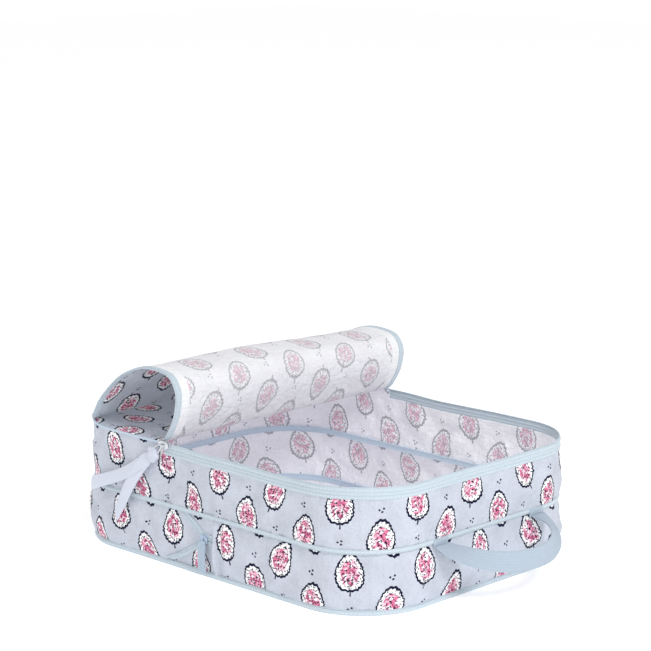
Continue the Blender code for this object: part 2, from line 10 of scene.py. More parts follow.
import bmesh
import bpy
import numpy as np
from mathutils import Matrix, Vector, noise
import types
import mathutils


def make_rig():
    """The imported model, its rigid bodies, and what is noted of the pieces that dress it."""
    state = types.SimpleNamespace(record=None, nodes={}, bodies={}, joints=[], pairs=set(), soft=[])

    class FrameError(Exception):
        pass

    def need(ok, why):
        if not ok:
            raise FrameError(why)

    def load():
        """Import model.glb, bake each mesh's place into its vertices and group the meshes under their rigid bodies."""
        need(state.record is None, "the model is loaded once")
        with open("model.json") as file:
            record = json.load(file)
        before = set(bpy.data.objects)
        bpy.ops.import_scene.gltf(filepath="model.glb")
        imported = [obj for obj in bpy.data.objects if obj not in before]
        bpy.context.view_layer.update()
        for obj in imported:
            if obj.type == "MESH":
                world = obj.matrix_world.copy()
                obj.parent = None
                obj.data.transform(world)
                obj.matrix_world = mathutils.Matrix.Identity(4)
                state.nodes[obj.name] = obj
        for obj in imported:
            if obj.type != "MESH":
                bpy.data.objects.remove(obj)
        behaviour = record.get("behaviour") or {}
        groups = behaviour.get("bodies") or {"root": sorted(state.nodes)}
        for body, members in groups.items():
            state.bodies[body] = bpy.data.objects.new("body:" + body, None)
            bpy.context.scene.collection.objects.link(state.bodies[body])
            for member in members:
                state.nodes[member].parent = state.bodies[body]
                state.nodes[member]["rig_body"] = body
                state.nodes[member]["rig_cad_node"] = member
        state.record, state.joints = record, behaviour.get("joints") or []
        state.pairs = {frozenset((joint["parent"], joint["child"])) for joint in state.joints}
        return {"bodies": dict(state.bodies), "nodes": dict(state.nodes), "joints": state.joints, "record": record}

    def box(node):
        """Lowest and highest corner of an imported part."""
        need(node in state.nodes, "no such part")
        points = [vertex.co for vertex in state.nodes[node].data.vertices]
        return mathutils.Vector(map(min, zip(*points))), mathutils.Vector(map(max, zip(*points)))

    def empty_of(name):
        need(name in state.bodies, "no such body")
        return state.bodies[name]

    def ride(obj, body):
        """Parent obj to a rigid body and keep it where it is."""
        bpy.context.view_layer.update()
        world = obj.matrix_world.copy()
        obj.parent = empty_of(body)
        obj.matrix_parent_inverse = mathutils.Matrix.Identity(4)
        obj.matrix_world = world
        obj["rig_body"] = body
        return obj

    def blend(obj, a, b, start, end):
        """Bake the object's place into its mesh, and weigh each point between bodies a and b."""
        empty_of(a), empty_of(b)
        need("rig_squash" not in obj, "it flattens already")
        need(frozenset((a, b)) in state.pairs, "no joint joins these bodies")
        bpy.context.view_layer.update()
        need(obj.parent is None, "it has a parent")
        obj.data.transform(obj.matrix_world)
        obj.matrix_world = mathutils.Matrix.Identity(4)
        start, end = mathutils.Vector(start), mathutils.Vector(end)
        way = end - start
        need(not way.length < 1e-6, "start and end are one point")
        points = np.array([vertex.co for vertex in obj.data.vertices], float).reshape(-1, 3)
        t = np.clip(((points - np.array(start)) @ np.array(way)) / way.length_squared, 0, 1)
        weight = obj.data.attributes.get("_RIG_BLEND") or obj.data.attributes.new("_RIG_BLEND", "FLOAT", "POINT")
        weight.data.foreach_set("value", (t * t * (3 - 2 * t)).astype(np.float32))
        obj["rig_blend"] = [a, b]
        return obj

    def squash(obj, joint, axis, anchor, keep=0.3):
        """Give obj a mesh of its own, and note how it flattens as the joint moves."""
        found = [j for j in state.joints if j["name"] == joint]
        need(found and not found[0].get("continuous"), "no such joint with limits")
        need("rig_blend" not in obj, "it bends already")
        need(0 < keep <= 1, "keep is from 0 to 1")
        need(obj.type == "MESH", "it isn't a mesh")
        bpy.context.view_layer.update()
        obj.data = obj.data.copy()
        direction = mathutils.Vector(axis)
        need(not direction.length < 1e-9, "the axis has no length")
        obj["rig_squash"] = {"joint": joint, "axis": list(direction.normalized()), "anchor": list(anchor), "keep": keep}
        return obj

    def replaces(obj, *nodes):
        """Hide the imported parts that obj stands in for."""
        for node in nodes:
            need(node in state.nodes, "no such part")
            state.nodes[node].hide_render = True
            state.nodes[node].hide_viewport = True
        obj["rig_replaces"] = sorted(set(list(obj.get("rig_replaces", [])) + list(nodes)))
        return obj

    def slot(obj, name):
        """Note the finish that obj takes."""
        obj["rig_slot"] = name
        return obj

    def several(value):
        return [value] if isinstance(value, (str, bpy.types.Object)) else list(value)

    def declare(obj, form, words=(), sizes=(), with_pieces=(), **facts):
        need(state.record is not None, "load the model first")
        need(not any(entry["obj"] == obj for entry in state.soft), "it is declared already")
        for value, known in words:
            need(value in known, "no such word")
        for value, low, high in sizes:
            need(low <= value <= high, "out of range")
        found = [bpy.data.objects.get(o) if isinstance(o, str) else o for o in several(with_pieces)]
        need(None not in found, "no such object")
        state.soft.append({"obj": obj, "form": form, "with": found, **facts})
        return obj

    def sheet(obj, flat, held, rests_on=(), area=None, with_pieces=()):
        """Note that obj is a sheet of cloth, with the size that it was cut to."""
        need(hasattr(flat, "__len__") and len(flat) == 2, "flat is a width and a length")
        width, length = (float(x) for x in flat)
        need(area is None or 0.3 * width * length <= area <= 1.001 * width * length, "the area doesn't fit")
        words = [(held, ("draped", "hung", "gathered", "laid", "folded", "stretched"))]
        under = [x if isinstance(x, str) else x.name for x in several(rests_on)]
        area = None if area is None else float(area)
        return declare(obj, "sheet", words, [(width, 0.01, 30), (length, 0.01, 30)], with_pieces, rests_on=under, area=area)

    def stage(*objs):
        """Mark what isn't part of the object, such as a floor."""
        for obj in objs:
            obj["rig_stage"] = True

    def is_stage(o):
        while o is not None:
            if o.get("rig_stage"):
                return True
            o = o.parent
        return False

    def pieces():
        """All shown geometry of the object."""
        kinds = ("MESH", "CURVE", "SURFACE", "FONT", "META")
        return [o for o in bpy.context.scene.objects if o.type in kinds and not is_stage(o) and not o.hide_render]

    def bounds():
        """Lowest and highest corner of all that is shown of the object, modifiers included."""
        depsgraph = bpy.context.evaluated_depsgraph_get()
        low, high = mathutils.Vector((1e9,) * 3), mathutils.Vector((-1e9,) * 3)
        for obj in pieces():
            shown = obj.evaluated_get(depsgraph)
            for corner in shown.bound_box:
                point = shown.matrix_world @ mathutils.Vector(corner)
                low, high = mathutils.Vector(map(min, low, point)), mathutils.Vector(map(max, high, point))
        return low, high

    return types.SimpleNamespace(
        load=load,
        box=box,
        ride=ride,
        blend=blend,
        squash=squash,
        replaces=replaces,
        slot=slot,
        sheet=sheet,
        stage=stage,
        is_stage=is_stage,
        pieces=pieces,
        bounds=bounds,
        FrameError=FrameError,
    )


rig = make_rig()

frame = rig.load()
CAD_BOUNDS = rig.bounds()
LOG = logging.getLogger("packing_cube")
Piece = bpy.types.Object


# ------------------------------------------------------------------- finishes
class Side(Enum):
    """Which face of the printed fabric a finish shows, and how faded the print is there."""

    OUTSIDE = 0.0
    INSIDE = 0.45
    LINING = 0.58


PAINTED_GLOW = {Side.OUTSIDE: 0.26, Side.INSIDE: 0.185, Side.LINING: 0.03}   # painted light: emission that stands in for light coming through the thin cloth
HEM_BAND = 0.0148                                                    # the lining's plain edge, metres


@dataclass(frozen=True)
class PrintFinish:
    """The leaf print: colours are linear, lengths in millimetres."""

    ground: tuple = (0.492, 0.521, 0.598)
    leaf: tuple = (0.90, 0.90, 0.92)
    blush: tuple = (0.81, 0.36, 0.49)
    heart: tuple = (0.56, 0.055, 0.19)
    through: tuple = (0.74, 0.76, 0.72)     # tint of the painted glow on the outside, standing in for light through it
    inner: tuple = (0.97, 0.95, 1.0)        # and of the painted glow on the inside
    ink: tuple = (0.006, 0.008, 0.032)
    faded: tuple = (0.83, 0.832, 0.865)
    pitch: float = 65.7847                  # from leaf to leaf in a row
    columns: float = 18.0                   # leaves in a row round the cube
    drop: float = 27.0                      # from row to row
    length: float = 14.8                    # half a leaf's
    width: float = 11.2                     # half a leaf's
    taper: float = 2.0                      # how much narrower the tip is
    rim: float = 0.95                       # the outline's place, as a share of the leaf
    line: float = 0.80                      # half the outline's width
    tooth: float = 0.130                    # half a tooth, radians
    bite: float = 5.6                       # a tooth's depth for each radian
    stem: tuple = (16.6, 0.7, 2.6)          # its middle, half its width and half its length
    veins: float = 1.9                      # half the distance between them
    dots: tuple = ((-1.7, -3.3), (0.9, -4.9), (1.5, -2.0))
    dot: float = 0.90                       # a dot's radius
    ripstop: float = 2.5                    # half the grid's pitch


@dataclass(frozen=True)
class PlainFinish:
    """A plain surface: colour, roughness, metal, and its woven relief."""

    name: str
    colour: tuple
    roughness: float = 0.7
    metallic: float = 0.0
    sheen: float = 0.0
    coat: float = 0.0
    rib: float = 0.0
    relief: float = 0.0
    # painted light: emission in the surface's own colour
    glow: float = 0.0


# painted light: the tapes and the binding glow a little, lifting them where they stand in the cube's shade
TAPE = PlainFinish("woven tape", (0.50, 0.585, 0.645), 0.72, sheen=0.15, rib=1.1, relief=0.25, glow=0.06)
BINDING = PlainFinish("seam binding", (0.50, 0.60, 0.70), 0.8, sheen=0.1, rib=0.9, relief=0.25, glow=0.14)
COIL = PlainFinish("zip coil", (0.52, 0.61, 0.68), 0.42)
WEBBING = PlainFinish("ribbed webbing", (0.42, 0.50, 0.59), 0.66, sheen=0.1, rib=2.4, relief=0.6)
RIBBON = PlainFinish("satin ribbon", (0.63, 0.67, 0.78), 0.42, sheen=0.3, rib=0.6, relief=0.12)
PULL = PlainFinish("pull cloth", (0.40, 0.50, 0.60), 0.7, sheen=0.2, rib=0.8, relief=0.25)
THREAD = PlainFinish("thread", (0.70, 0.77, 0.85), 0.55)
METAL = PlainFinish("nickel", (0.66, 0.68, 0.72), 0.24, metallic=1.0)
ENAMEL = PlainFinish("enamel", (0.42, 0.52, 0.66), 0.32, coat=0.4)
FLOOR = PlainFinish("studio floor", (0.97, 0.97, 0.975), 0.95)
HEM_WHITE = (0.88, 0.885, 0.905)


class Value:
    """An output in a material's graph, written with ordinary signs."""

    def __init__(self, graph: "Graph", socket: bpy.types.NodeSocket) -> None:
        """Args: graph: whose nodes it uses; socket: the output."""
        self.graph, self.socket = graph, socket

    def do(self, operation: str, *others) -> "Value":
        """Args: operation: a Math node's operation; others: its other inputs. Returns: the result."""
        return self.graph.math(operation, self, *others)

    def __add__(self, other) -> "Value":
        """Args: other: what to add. Returns: the sum."""
        return self.do("ADD", other)

    def __sub__(self, other) -> "Value":
        """Args: other: what to take away. Returns: the difference."""
        return self.do("SUBTRACT", other)

    def __rsub__(self, other) -> "Value":
        """Args: other: what this is taken from. Returns: the difference."""
        return self.graph.math("SUBTRACT", other, self)

    def __mul__(self, other) -> "Value":
        """Args: other: the factor. Returns: the product."""
        return self.do("MULTIPLY", other)

    def __truediv__(self, other) -> "Value":
        """Args: other: the divisor. Returns: the quotient."""
        return self.do("DIVIDE", other)


class Graph:
    """Shader nodes of one material, written as expressions."""

    def __init__(self, name: str) -> None:
        """Args: name: the material's name."""
        self.material = bpy.data.materials.new(name)
        self.material.use_nodes = True
        self.nodes = self.material.node_tree.nodes
        self.links = self.material.node_tree.links
        self.shader = self.nodes["Principled BSDF"]

    def put(self, socket, value) -> None:
        """Sets or links an input. Args: socket: the input; value: a number, a colour or an output."""
        if isinstance(value, Value):
            self.links.new(value.socket, socket)
        else:
            socket.default_value = value

    def math(self, operation: str, *values, clamp: bool = False) -> Value:
        """Args: operation: a Math node's; values: its inputs; clamp: to 0 to 1. Returns: its output."""
        node = self.nodes.new("ShaderNodeMath")
        node.operation = operation
        node.use_clamp = clamp
        for socket, value in zip(node.inputs, values):
            self.put(socket, value)
        return Value(self, node.outputs[0])

    def below(self, value, limit, soft: float) -> Value:
        """Args: value, limit: numbers or outputs; soft: the edge's width. Returns: 1 where value is under limit."""
        return self.math("ADD", self.math("SUBTRACT", limit, value) / soft, 0.5, clamp=True)

    def length(self, x: Value, y: Value) -> Value:
        """Args: x, y: a vector's. Returns: its length."""
        return (x * x + y * y).do("SQRT")

    def blend(self, factor, first, second, kind: str = "MIX") -> Value:
        """Args: factor: 0 to 1; first, second: colours; kind: how they meet. Returns: the mixed colour."""
        node = self.nodes.new("ShaderNodeMix")
        node.data_type = "RGBA"
        node.blend_type = kind
        self.put(node.inputs[0], factor)
        for socket, value in ((node.inputs[6], first), (node.inputs[7], second)):
            self.put(socket, (*value, 1.0) if isinstance(value, tuple) else value)
        return Value(self, node.outputs[2])

    def vector(self, x, y, z=0.0) -> Value:
        """Args: x, y, z: components. Returns: the vector."""
        node = self.nodes.new("ShaderNodeCombineXYZ")
        for socket, value in zip(node.inputs, (x, y, z)):
            self.put(socket, value)
        return Value(self, node.outputs[0])

    def noise(self, vector: Value, scale: float, detail: float = 2.0) -> Value:
        """Args: vector: where; scale: of the noise; detail: octaves. Returns: 0 to 1."""
        node = self.nodes.new("ShaderNodeTexNoise")
        node.inputs["Scale"].default_value = scale
        node.inputs["Detail"].default_value = detail
        self.put(node.inputs["Vector"], vector)
        return Value(self, node.outputs[0])

    def dice(self, vector: Value) -> Value:
        """Args: vector: where. Returns: a chance from 0 to 1 that changes from cell to cell."""
        node = self.nodes.new("ShaderNodeTexWhiteNoise")
        node.noise_dimensions = "2D"
        self.put(node.inputs["Vector"], vector)
        return Value(self, node.outputs["Value"])

    def uv(self) -> tuple:
        """Returns: the piece's own UV place in millimetres, as two outputs."""
        node = self.nodes.new("ShaderNodeUVMap")
        node.uv_map = "UVMap"
        split = self.nodes.new("ShaderNodeSeparateXYZ")
        self.links.new(node.outputs[0], split.inputs[0])
        return Value(self, split.outputs[0]) * 1000.0, Value(self, split.outputs[1]) * 1000.0

    def relief(self, height: Value, strength: float, distance: float) -> None:
        """Bumps the surface. Args: height: 0 to 1; strength: share; distance: metres."""
        node = self.nodes.new("ShaderNodeBump")
        node.inputs["Strength"].default_value = strength
        node.inputs["Distance"].default_value = distance
        self.put(node.inputs["Height"], height)
        self.links.new(node.outputs[0], self.shader.inputs["Normal"])


class Finishes:
    """Every material of the cube, made once."""

    def __init__(self) -> None:
        """Makes an empty cupboard of materials."""
        self.made: dict = {}

    def plain(self, finish: PlainFinish) -> bpy.types.Material:
        """Args: finish: the surface wanted. Returns: its material."""
        if finish.name in self.made:
            return self.made[finish.name]
        graph = Graph(finish.name)
        shader = graph.shader.inputs
        shader["Base Color"].default_value = (*finish.colour, 1.0)
        shader["Roughness"].default_value = finish.roughness
        shader["Metallic"].default_value = finish.metallic
        shader["Sheen Weight"].default_value = finish.sheen
        shader["Sheen Roughness"].default_value = 0.5
        shader["Coat Weight"].default_value = finish.coat
        # painted light where glow is set: the surface glows in its own colour
        shader["Emission Color"].default_value = (*finish.colour, 1.0)
        shader["Emission Strength"].default_value = finish.glow
        if finish.rib:
            u, v = graph.uv()
            across = v.do("PINGPONG", finish.rib / 2)
            weave = across / (finish.rib / 2) + (u + across).do("PINGPONG", 0.35)
            graph.relief(weave, finish.relief, 0.0004)
            mottle = graph.noise(graph.vector(u, v), 0.35, 3.0) * 0.5 + weave * 0.3
            light = tuple(min(1.0, c * 1.12) for c in finish.colour)
            dark = tuple(c * 0.86 for c in finish.colour)
            graph.put(shader["Base Color"], graph.blend(mottle, dark, light))
        self.made[finish.name] = graph.material
        return graph.material

    def printed(self, side: Side) -> bpy.types.Material:
        """Args: side: the face shown. Returns: the leaf-printed ripstop for it."""
        name = f"printed cloth {side.name.lower()}"
        if name in self.made:
            return self.made[name]
        look = PrintFinish()
        graph = Graph(name)
        shader = graph.shader.inputs
        shader["Roughness"].default_value = 0.58
        shader["Specular IOR Level"].default_value = 0.08
        u, v = graph.uv()
        outside = side is Side.OUTSIDE
        colour, grid = self.leaves(graph, look, u, v, look.ground if outside else look.faded)
        if not outside:
            colour = graph.blend(side.value, colour, look.faded)
        if side is Side.LINING:
            edge = graph.nodes.new("ShaderNodeAttribute")
            edge.attribute_name = "edge_distance"
            band = graph.below(Value(graph, edge.outputs["Fac"]), HEM_BAND, 0.0005)
            colour = graph.blend(band, colour, HEM_WHITE)
        graph.put(shader["Base Color"], colour)
        # painted light: the print glows in its own colour, tinted, standing in for light through the cloth and
        # lightening its shade
        painted_glow_tint = look.through if outside else look.inner
        graph.put(shader["Emission Color"], graph.blend(1.0, colour, painted_glow_tint, "MULTIPLY"))
        shader["Emission Strength"].default_value = PAINTED_GLOW[side]
        place = graph.vector(u, v)
        crinkle, fine = graph.noise(place, 0.16, 4.0), graph.noise(place, 1.6, 2.0)
        graph.relief(crinkle * 2.2 + fine * 0.35 + grid * 0.16, 0.6, 0.0024)
        self.made[name] = graph.material
        return graph.material

    @staticmethod
    def leaves(graph: Graph, look: PrintFinish, u: Value, v: Value, ground: tuple) -> tuple:
        """The half-drop leaf print.

        Args: graph: the nodes; look: its colours and sizes; u, v: place in millimetres; ground: cloth colour.
        Returns: the colour and the ripstop grid.
        """
        below = graph.below
        place = graph.vector(u, v)
        u = u + (graph.noise(place, 0.22, 2.0) - 0.5) * 3.2
        # Every leaf has its own cell, half a pitch wide and two rows tall.
        half, lane = look.pitch / 2, look.drop * 2
        column = (u / half + 0.5).do("FLOOR")
        cell_u = u - column * half
        shifted = v - column.do("FLOORED_MODULO", 2.0) * look.drop
        row = (shifted / lane + 0.5).do("FLOOR")
        cell_v = shifted - row * lane
        between = shifted.do("FLOORED_MODULO", lane) - look.drop
        chance = graph.dice(graph.vector(column.do("FLOORED_MODULO", look.columns * 2), row))
        # The leaf's own axes: p runs to its tip, q across it.
        turn = (column + row).do("FLOORED_MODULO", 2.0) * math.pi + (chance * 0.9 + 1.1)
        cos, sin = turn.do("COSINE"), turn.do("SINE")
        p = cell_u * cos + cell_v * sin
        q = cell_v * cos - cell_u * sin
        side = q.do("ABSOLUTE")
        t = p / look.length
        r = graph.length(t, side / (look.width - t * look.taper))
        teeth = side.do("ARCTAN2", p).do("PINGPONG", look.tooth) * look.bite
        tip = (t - 0.70).do("MAXIMUM", 0.0) * 1.6
        d = (r - look.rim) * look.width - (teeth + tip)
        inside = below(d, 0.0, 0.4)
        outline = below(d.do("ABSOLUTE"), look.line, 0.2)
        middle, stem_width, stem_length = look.stem
        stem = (side - stem_width).do("MAXIMUM", (p + middle).do("ABSOLUTE") - stem_length)
        stem = below(stem, 0.0, 0.4)
        # Clouds of pink in the heart of the leaf, with broken veins and specks over them.
        cell = graph.vector(p + chance * 900.0, q)
        cloud = graph.noise(cell, 0.24, 1.0)
        core = below(r + graph.noise(cell, 0.40, 1.0) * 0.42, 0.88, 0.08)
        blush, deep = below(0.40, cloud, 0.05) * core, below(0.53, cloud, 0.05) * core
        veins = (p + side * 0.9).do("PINGPONG", look.veins)
        strokes = below(veins, 0.55, 0.3).do("MAXIMUM", below(side, 0.50, 0.3))
        strokes = strokes * below(0.52, graph.noise(cell, 0.50, 1.0), 0.05)
        specks = below(0.61, graph.noise(cell, 0.62, 0.5), 0.04)
        strokes = strokes.do("MAXIMUM", specks) * below(r, 0.90, 0.06)
        # Three dots halfway between the leaves of a column.
        near = [graph.length(cell_u - x, between - y) for x, y in look.dots]
        dots = below(near[0].do("MINIMUM", near[1]).do("MINIMUM", near[2]), look.dot, 0.3)
        ink = outline.do("MAXIMUM", stem).do("MAXIMUM", strokes.do("MAXIMUM", dots))
        lines = [below(w.do("PINGPONG", look.ripstop), 0.2, 0.3) for w in (u, v)]
        grid = lines[0].do("MAXIMUM", lines[1])
        # painted shade and light: random darker and lighter patches of the ground stand in for soft creases and light
        # through the thin cloth
        shade = graph.noise(place, 0.045, 2.0)
        shaded_ground, lit_ground = tuple(c * 0.91 for c in ground), tuple(min(1.0, c * 1.08) for c in ground)
        colour = graph.blend(below(0.5, shade, 0.45), shaded_ground, lit_ground)
        colour = graph.blend(grid * 0.14, colour, look.faded)
        colour = graph.blend(inside, colour, look.leaf)
        colour = graph.blend(blush * 0.80, colour, look.blush)
        colour = graph.blend(deep * 0.75, colour, look.heart)
        return graph.blend(ink, colour, look.ink), grid


FINISHES = Finishes()


# ------------------------------------------------------------------- geometry
def ease(value: float) -> float:
    """Args: value: any number. Returns: it eased from 0 to 1."""
    value = min(1.0, max(0.0, value))
    return value * value * (3.0 - 2.0 * value)


def ripple(x: float, y: float, z: float, scale: float) -> float:
    """Args: x, y, z: place in metres; scale: metres per wave. Returns: smooth noise from -1 to 1."""
    return noise.noise(Vector((x, y, z)) / scale)


def steps(count: int) -> list:
    """Args: count: how many. Returns: that many numbers, evenly from 0 to 1."""
    return [k / (count - 1) for k in range(count)]


def spread(count: int) -> list:
    """Args: count: how many. Returns: that many numbers, evenly from -1 to 1."""
    return [2 * k / (count - 1) - 1 for k in range(count)]


def runs(first: float, last: float, step: float = 0.004) -> list:
    """Args: first, last: runs; step: metres. Returns: evenly spaced runs from first to last."""
    count = max(2, round((last - first) / step))
    return [first + (last - first) * k / count for k in range(count + 1)]


def table(along: Sequence, across: Sequence, cell: Callable) -> np.ndarray:
    """Args: along, across: values; cell: makes a point from one of each. Returns: the grid of points."""
    return np.array([[tuple(cell(a, b)) for b in across] for a in along], float)


def heading(degrees: float) -> Vector:
    """Args: degrees: up from +X. Returns: that direction in the x, z plane."""
    return Vector((math.cos(math.radians(degrees)), 0.0, math.sin(math.radians(degrees))))


def turned(way: Vector) -> Vector:
    """Args: way: a direction in the x, z plane. Returns: it turned a quarter, from x to z."""
    return Vector((-way.z, 0.0, way.x))


def oblong(left: float, low: float, right: float, high: float) -> list:
    """Args: left, low, right, high: its sides. Returns: its corners."""
    return [(left, low), (right, low), (right, high), (left, high)]


def shield(lower: list) -> list:
    """Args: lower: the corners of the lower half, left to right. Returns: those of the whole plate."""
    return lower + [(x, -z) for x, z in lower[::-1]]


def finish_piece(name: str, shape: bmesh.types.BMesh, materials: Sequence) -> Piece:
    """Args: name: the piece's; shape: its mesh, which is freed; materials: its slots. Returns: the object."""
    mesh = bpy.data.meshes.new(name)
    shape.to_mesh(mesh)
    shape.free()
    for material in materials:
        mesh.materials.append(material)
    piece = bpy.data.objects.new(name, mesh)
    bpy.context.scene.collection.objects.link(piece)
    return piece


def fit(piece: Piece, body: str, node: str = "", slot: str = "", squash: dict | None = None) -> None:
    """Ties a piece to the frame.

    Args: piece: the piece; body: what it rides; node: what it replaces; slot: its finish slot; squash: how it folds.
    """
    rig.ride(piece, body)
    if squash:
        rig.squash(piece, **squash)
    if node:
        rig.replaces(piece, node)
    if slot:
        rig.slot(piece, slot)


class Shell:
    """A cloth with two faces and hems, from a grid of points in its middle."""

    def __init__(self, points: np.ndarray, uv: np.ndarray, thickness: float, closed: bool = False) -> None:
        """Args: points: n x m x 3; uv: n x m x 2 in metres, with one more row if closed;
        thickness: metres; closed: the rows meet."""
        self.points, self.uv, self.closed = points, uv, closed
        if closed:
            along = np.roll(points, -1, axis=0) - np.roll(points, 1, axis=0)
        else:
            along = np.gradient(points, axis=0)
        normal = np.cross(along, np.gradient(points, axis=1))
        normal /= np.maximum(np.linalg.norm(normal, axis=2, keepdims=True), 1e-12)
        self.faces_at = (points + normal * thickness / 2, points - normal * thickness / 2)

    def build(self, name: str, materials: Sequence, edges: np.ndarray | None = None) -> Piece:
        """Args: name: the piece's; materials: outer, inner and hem; edges: distance to the cut edge by point.
        Returns: the piece."""
        shape = bmesh.new()
        layer = shape.loops.layers.uv.new("UVMap")
        mark = shape.verts.layers.float.new("edge_distance") if edges is not None else None
        n, m = self.points.shape[:2]
        outer, inner = ([[shape.verts.new(face[i, j]) for j in range(m)] for i in range(n)]
                        for face in self.faces_at)
        if mark is not None:
            for (i, j), gap in np.ndenumerate(edges):
                outer[i][j][mark] = inner[i][j][mark] = float(gap)

        def quad(corners: list, places: list, slot: int, flip: bool = False) -> None:
            if flip:
                corners, places = corners[::-1], places[::-1]
            face = shape.faces.new(corners)
            face.material_index, face.smooth = slot, True
            for loop, (i, j) in zip(face.loops, places):
                loop[layer].uv = self.uv[i, j]

        back, hem = min(1, len(materials) - 1), min(2, len(materials) - 1)
        for i in range(n if self.closed else n - 1):
            k = (i + 1) % n
            for j in range(m - 1):
                here = [(i, j), (i + 1, j), (i + 1, j + 1), (i, j + 1)]
                quad([outer[i][j], outer[k][j], outer[k][j + 1], outer[i][j + 1]], here, 0)
                quad([inner[i][j], inner[k][j], inner[k][j + 1], inner[i][j + 1]], here, back, True)
            for j, flip in ((0, False), (m - 1, True)):
                quad([inner[i][j], inner[k][j], outer[k][j], outer[i][j]],
                     [(i, j), (i + 1, j), (i + 1, j), (i, j)], hem, flip)
        if not self.closed:
            for i, flip in ((0, True), (n - 1, False)):
                for j in range(m - 1):
                    quad([inner[i][j], inner[i][j + 1], outer[i][j + 1], outer[i][j]],
                         [(i, j), (i, j + 1), (i, j + 1), (i, j)], hem, flip)
        shape.normal_update()
        for edge in shape.edges:
            if len(edge.link_faces) == 2 and edge.calc_face_angle(0.0) > 0.9:
                edge.smooth = False
        return finish_piece(name, shape, materials)


class Tube:
    """A round cord along a path, plain or ribbed like a zip's coil."""

    def __init__(self, radius: float, sides: int = 8, ribs: float = 0.0, pitch: float = 0.0013) -> None:
        """Args: radius: metres; sides: round it; ribs: their depth as a share; pitch: metres from rib to rib."""
        self.radius, self.sides, self.ribs, self.pitch = radius, sides, ribs, pitch

    def build(self, name: str, paths: Sequence, finish: PlainFinish, closed: bool = False) -> Piece:
        """Args: name: the piece's; paths: lists of points; finish: its surface; closed: each path meets itself.
        Returns: the piece."""
        shape = bmesh.new()
        for path in paths:
            points = np.array([tuple(p) for p in path], float)
            if self.ribs:
                points = self.resample(points, self.pitch / 2, closed)
            count = len(points)
            rings = []
            up = None
            for i in range(count):
                ahead = points[(i + 1) % count] if closed else points[min(i + 1, count - 1)]
                behind = points[i - 1] if closed else points[max(i - 1, 0)]
                along = Vector(ahead - behind).normalized()
                if up is None:
                    up = along.orthogonal().normalized()
                up = (up - along * up.dot(along)).normalized()
                side = along.cross(up)
                radius = self.radius * (1.0 + (self.ribs if i % 2 else -self.ribs))
                angles = (2 * math.pi * k / self.sides for k in range(self.sides))
                rings.append([shape.verts.new(Vector(points[i]) + (up * math.cos(a) + side * math.sin(a)) * radius)
                              for a in angles])
            for i in range(count if closed else count - 1):
                here, there = rings[i], rings[(i + 1) % count]
                for k in range(self.sides):
                    e = (k + 1) % self.sides
                    shape.faces.new((here[k], here[e], there[e], there[k])).smooth = True
            if not closed:
                shape.faces.new(rings[0][::-1])
                shape.faces.new(rings[-1])
        bmesh.ops.recalc_face_normals(shape, faces=shape.faces)
        return finish_piece(name, shape, [FINISHES.plain(finish)])

    @staticmethod
    def resample(points: np.ndarray, step: float, closed: bool) -> np.ndarray:
        """Args: points: a path; step: metres; closed: it meets itself. Returns: an even path of even count."""
        if closed:
            points = np.vstack((points, points[:1]))
        run = np.concatenate(([0.0], np.cumsum(np.linalg.norm(np.diff(points, axis=0), axis=1))))
        count = max(4, int(run[-1] / step) // 2 * 2)
        at = np.linspace(0.0, run[-1], count + 1)
        even = np.stack([np.interp(at, run, points[:, k]) for k in range(3)], axis=1)
        return even[:-1] if closed else even


def stitches(name: str, rows: Sequence, pitch: float = 0.0032, length: float = 0.0022,
             radius: float = 0.00028) -> Piece:
    """Args: name: the piece's; rows: lists of (point, outward); pitch, length, radius: of a stitch.
    Returns: the piece."""
    shape = bmesh.new()
    for row in rows:
        points = np.array([tuple(p) for p, _ in row], float)
        normals = np.array([tuple(n) for _, n in row], float)
        run = np.concatenate(([0.0], np.cumsum(np.linalg.norm(np.diff(points, axis=0), axis=1))))
        for k in range(int(run[-1] / pitch)):
            start = (k + 0.15) * pitch
            ends = [Vector([np.interp(start + d, run, points[:, c]) for c in range(3)]) for d in (0.0, length)]
            normal = Vector([np.interp(start + length / 2, run, normals[:, c]) for c in range(3)]).normalized()
            side = (ends[1] - ends[0]).normalized().cross(normal)
            rings = []
            for share in (0.2, 0.8):
                centre = ends[0].lerp(ends[1], share)
                rings.append([shape.verts.new(centre + (side * math.cos(a) + normal * math.sin(a) * 0.8) * radius)
                              for a in (2 * math.pi * j / 6 for j in range(6))])
            tips = [shape.verts.new(end - normal * radius * 0.5) for end in ends]
            for j in range(6):
                e = (j + 1) % 6
                shape.faces.new((rings[0][j], rings[0][e], rings[1][e], rings[1][j])).smooth = True
                shape.faces.new((rings[0][e], rings[0][j], tips[0])).smooth = True
                shape.faces.new((rings[1][j], rings[1][e], tips[1])).smooth = True
    bmesh.ops.recalc_face_normals(shape, faces=shape.faces)
    return finish_piece(name, shape, [FINISHES.plain(THREAD)])


def plate(outline: Sequence, depth: float, place: Matrix, bevel: float) -> bmesh.types.BMesh:
    """Args: outline: x, y corners; depth: along z; place: its matrix; bevel: metres. Returns: a bevelled plate."""
    shape = bmesh.new()
    face = shape.faces.new([shape.verts.new((x, y, -depth / 2)) for x, y in outline])
    grown = bmesh.ops.extrude_face_region(shape, geom=[face])["geom"]
    bmesh.ops.translate(shape, vec=(0.0, 0.0, depth), verts=[v for v in grown if isinstance(v, bmesh.types.BMVert)])
    bmesh.ops.recalc_face_normals(shape, faces=shape.faces)
    bmesh.ops.bevel(shape, geom=list(shape.edges), offset=bevel, segments=3, profile=0.5, affect="EDGES",
                    material=-1)
    bmesh.ops.transform(shape, matrix=place, verts=shape.verts)
    for face in shape.faces:
        face.smooth = True
    return shape


def join(parts: Sequence) -> bmesh.types.BMesh:
    """Args: parts: meshes, which are freed. Returns: one mesh of them all."""
    whole = bmesh.new()
    for part in parts:
        step = bpy.data.meshes.new("")
        part.to_mesh(step)
        part.free()
        whole.from_mesh(step)
        bpy.data.meshes.remove(step)
    return whole


